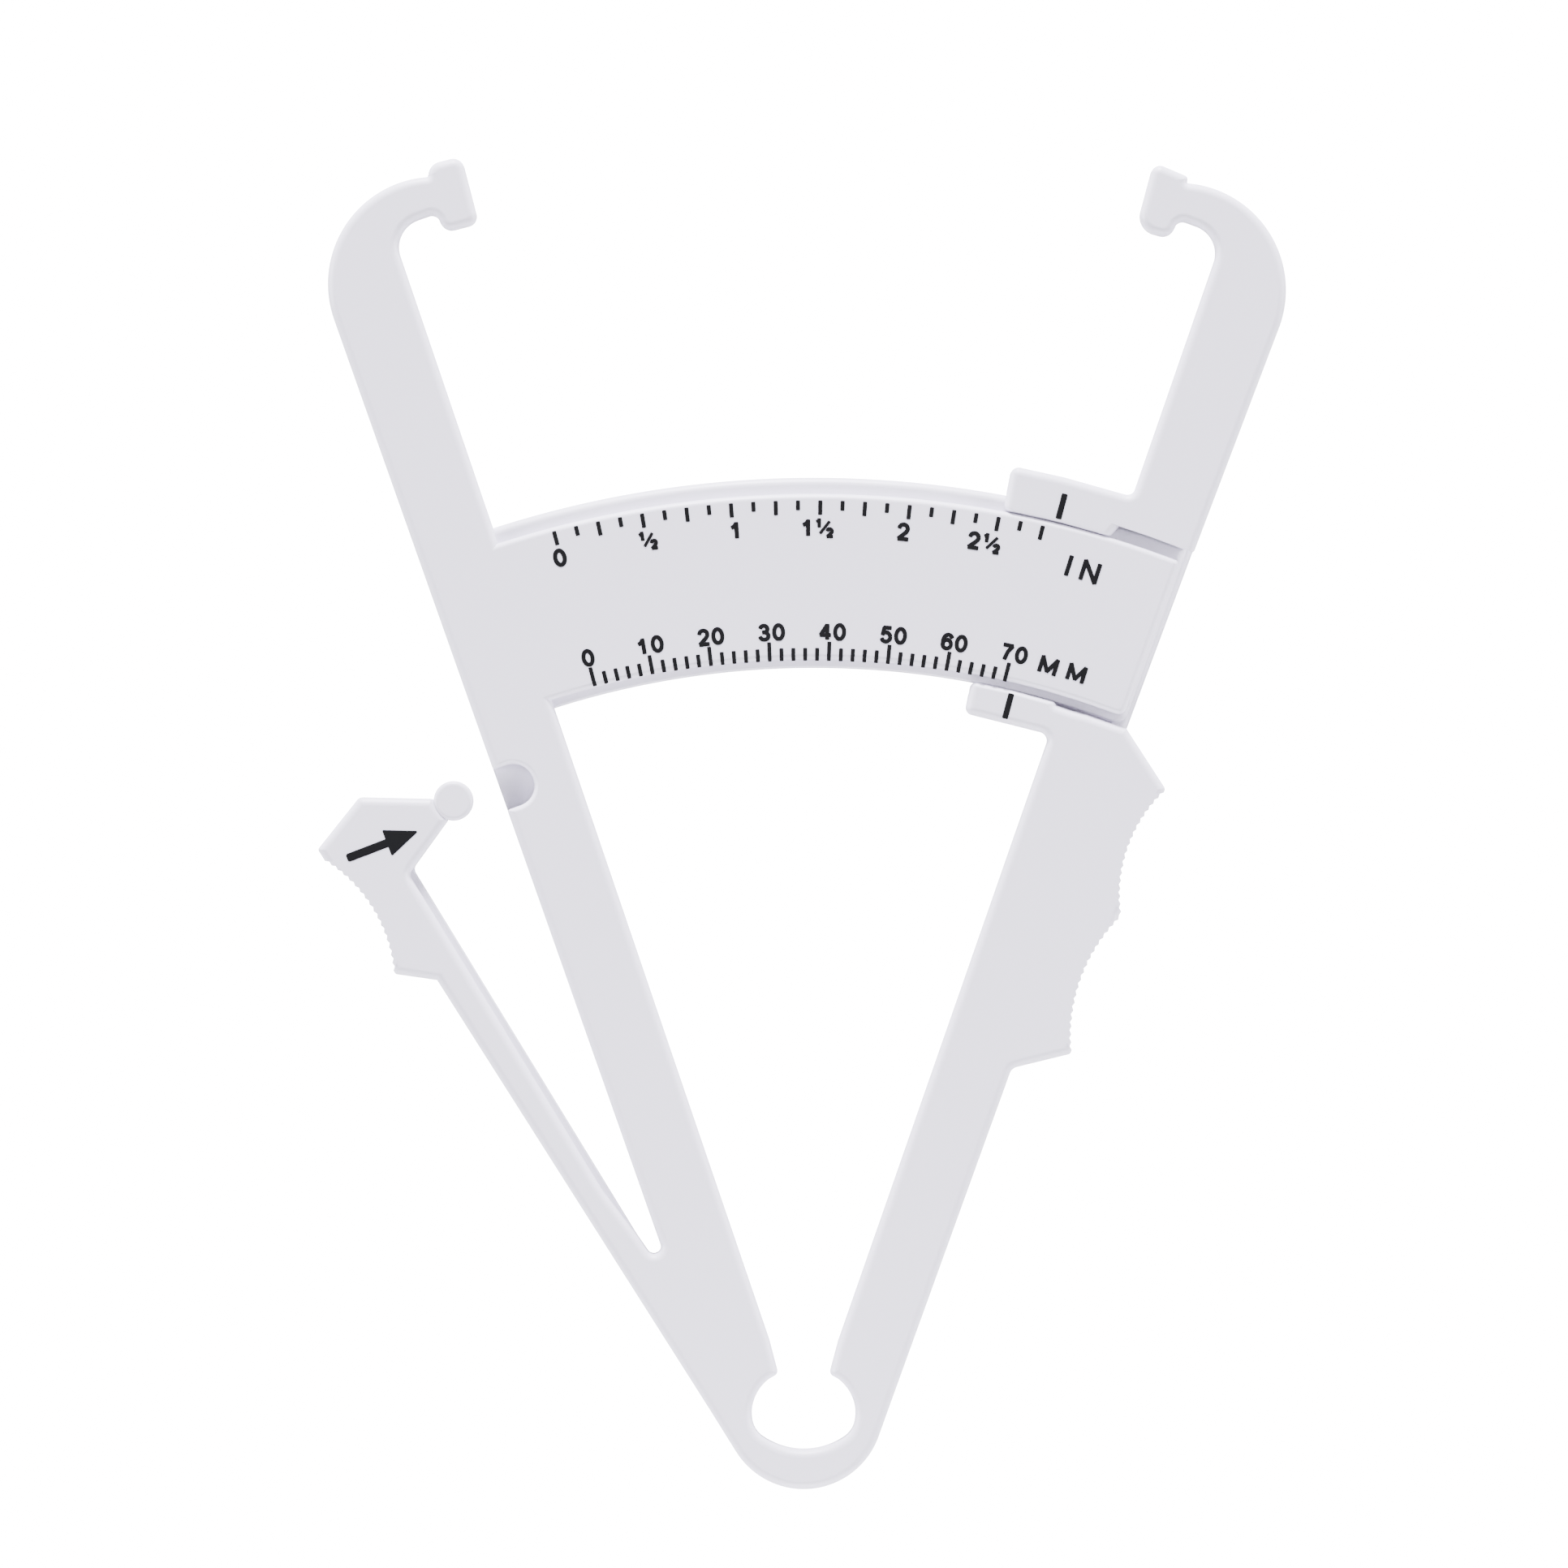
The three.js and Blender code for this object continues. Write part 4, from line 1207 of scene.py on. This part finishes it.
def grained(name, colours, roughness, grain_scale, relief):
    """A material whose colour and roughness drift between two values each."""
    material = bpy.data.materials.new(name)
    material.use_nodes = True
    nodes, links = material.node_tree.nodes, material.node_tree.links
    shader = nodes["Principled BSDF"]
    place_node = nodes.new("ShaderNodeTexCoord")
    surface = nodes.new("ShaderNodeGroup")
    surface.node_tree = grain
    set_inputs(surface, {"Grain per metre": grain_scale})
    links.new(place_node.outputs["Object"], surface.inputs["Place"])

    tint = nodes.new("ShaderNodeMix")
    tint.data_type = "RGBA"
    colour_socket(tint.inputs, "A").default_value = (*colours[0], 1)
    colour_socket(tint.inputs, "B").default_value = (*colours[1], 1)
    links.new(surface.outputs["Unevenness"], tint.inputs["Factor"])
    links.new(colour_socket(tint.outputs, "Result"), shader.inputs["Base Color"])

    gloss = nodes.new("ShaderNodeMapRange")
    set_inputs(gloss, {"From Min": 0.3, "From Max": 0.7})
    set_inputs(gloss, {"To Min": roughness[0], "To Max": roughness[1]})
    links.new(surface.outputs["Unevenness"], gloss.inputs["Value"])
    links.new(gloss.outputs["Result"], shader.inputs["Roughness"])

    bump = nodes.new("ShaderNodeBump")
    set_inputs(bump, {"Strength": 1, "Distance": relief})
    links.new(surface.outputs["Height"], bump.inputs["Height"])
    links.new(bump.outputs["Normal"], shader.inputs["Normal"])
    print(f"{material.name} has {len(nodes)} nodes")
    return material


plastic = grained(
    "white_plastic", ((0.735, 0.712, 0.806), (0.755, 0.732, 0.826)), (0.40, 0.50), 2600, 0.0000015
)

# %% [markdown]
# The ink is nearly black and rougher than the plastic. It hardly mirrors the lights, because its
# surface is too broken for that, so its specular level is turned down.

# %% Ink and slots
ink = grained(
    "black_ink", ((0.004, 0.004, 0.0045), (0.007, 0.007, 0.008)), (0.55, 0.65), 2600, 0.000002
)
set_inputs(ink.node_tree.nodes["Principled BSDF"], {"Specular IOR Level": 0.06})

for slot, material, pieces in (
    ("moulding", plastic, (bow, lever, scale_arm, blade, index_arm)),
    ("print", ink, (inch_scale, millimetre_scale, *reading_lines, arrow)),
):
    for piece in pieces:
        piece.data.materials.append(material)
    print(f"{material.name} covers {len(pieces)} pieces in the slot {slot}")

# %% [markdown]
# ## Studio
# The photograph was taken straight from above on plain white, with soft light from the top of the
# picture. A floor that is lit as bright as that would light the tool from below and wash its
# edges out, so the floor and the surroundings are white to the camera alone: a Light Path node
# tells the camera's rays from all others.

# %% White to the camera alone
PAPER = 18
SURROUNDINGS = 0.15


def paper_white(tree, target, dim):
    """Feeds target with a dim white, and with paper white where the camera looks at it."""
    path = tree.nodes.new("ShaderNodeLightPath")
    mix = tree.nodes.new("ShaderNodeMix")
    mix.data_type = "RGBA"
    colour_socket(mix.inputs, "A").default_value = (dim, dim, dim, 1)
    colour_socket(mix.inputs, "B").default_value = (PAPER, PAPER, PAPER, 1)
    tree.links.new(path.outputs["Is Camera Ray"], mix.inputs["Factor"])
    tree.links.new(colour_socket(mix.outputs, "Result"), target)


world = bpy.data.worlds.new("studio")
world.use_nodes = True
background = world.node_tree.nodes["Background"]
paper_white(world.node_tree, background.inputs["Color"], SURROUNDINGS)
bpy.context.scene.world = world
print(f"The camera sees them {PAPER / SURROUNDINGS:.0f} times as bright as the tool does")

# %% Floor
floor_mesh = bpy.data.meshes.new("floor")
bm = bmesh.new()
bmesh.ops.create_grid(bm, x_segments=1, y_segments=1, size=2)
bm.to_mesh(floor_mesh)
bm.free()
floor = bpy.data.objects.new("floor", floor_mesh)
bpy.context.scene.collection.objects.link(floor)
floor.location.z = -0.0003

paper = bpy.data.materials.new("paper")
paper.use_nodes = True
paper_shader = paper.node_tree.nodes["Principled BSDF"]
set_inputs(paper_shader, {"Base Color": (0.85, 0.85, 0.86, 1), "Roughness": 1})
set_inputs(paper_shader, {"Emission Strength": 1})
paper_white(paper.node_tree, paper_shader.inputs["Emission Color"], 0)
floor_mesh.materials.append(paper)
print(f"The floor is {floor.dimensions.x:.1f} m wide")

# %% [markdown]
# The key light stands low behind the jaws and draws the bright lines along the upper fillets. Two
# weaker lights from the sides and a faint one in front keep the other fillets from going dark,
# and one straight above reaches into the gaps beside the blade.

# %% Lights
def area_light(name, location, aim, size, power):
    data = bpy.data.lights.new(name, "AREA")
    data.size = size
    data.energy = power
    data.color = (0.95, 0.94, 1.0)
    light = bpy.data.objects.new(name, data)
    light.location = location
    direction = Vector(aim) - Vector(location)
    light.rotation_euler = direction.to_track_quat("-Z", "Y").to_euler()
    bpy.context.scene.collection.objects.link(light)
    return light


CENTRE = (0, 0.07, 0)
lights = [
    area_light("key", (-0.05, 1.04, 0.245), CENTRE, 0.25, 58.5),
    area_light("left", (-0.97, 0.07, 0.25), CENTRE, 0.4, 22),
    area_light("right", (0.97, 0.07, 0.25), CENTRE, 0.4, 22),
    area_light("front", (0.0, -0.25, 0.12), (0, 0.04, 0), 0.2, 2.6),
    area_light("above", (0.0, 0.07, 1.0), CENTRE, 0.6, 3.5),
]
print("The lights have", [round(light.data.energy, 1) for light in lights], "W")

# %% [markdown]
# The photograph shows hardly any of the tool's walls, so its camera was far away. This one stands
# 1.5 m above the floor with a long lens that fits the tool to the frame, and is turned by the
# fifth of a degree that the photograph is.

# %% Camera
camera_data = bpy.data.cameras.new("camera")
camera_data.lens = 326.1
camera_data.sensor_width = 36
camera_data.clip_end = 10
camera = bpy.data.objects.new("camera", camera_data)
camera.location = (-0.0023, 0.07219, 1.5)
camera.rotation_euler = (0, 0, math.radians(0.2))
bpy.context.scene.collection.objects.link(camera)
bpy.context.scene.camera = camera
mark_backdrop(floor, *lights, camera)
field = camera.location.z * camera_data.sensor_width / camera_data.lens
print(f"The camera sees {1000 * field:.0f} mm of the floor")

# %% [markdown]
# ## Finish
# The frame's box from straight after the load and from now are kept side by side. They show how
# far the meshes reach past the CAD part, which should be a fraction of a millimetre.

# %% Finish
bounds_at_end = [list(corner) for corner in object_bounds()]
moved = [1000 * abs(a - b) for x, y in zip(bounds_after_load, bounds_at_end) for a, b in zip(x, y)]
print(f"The box moved by {max(moved):.2f} mm at most")
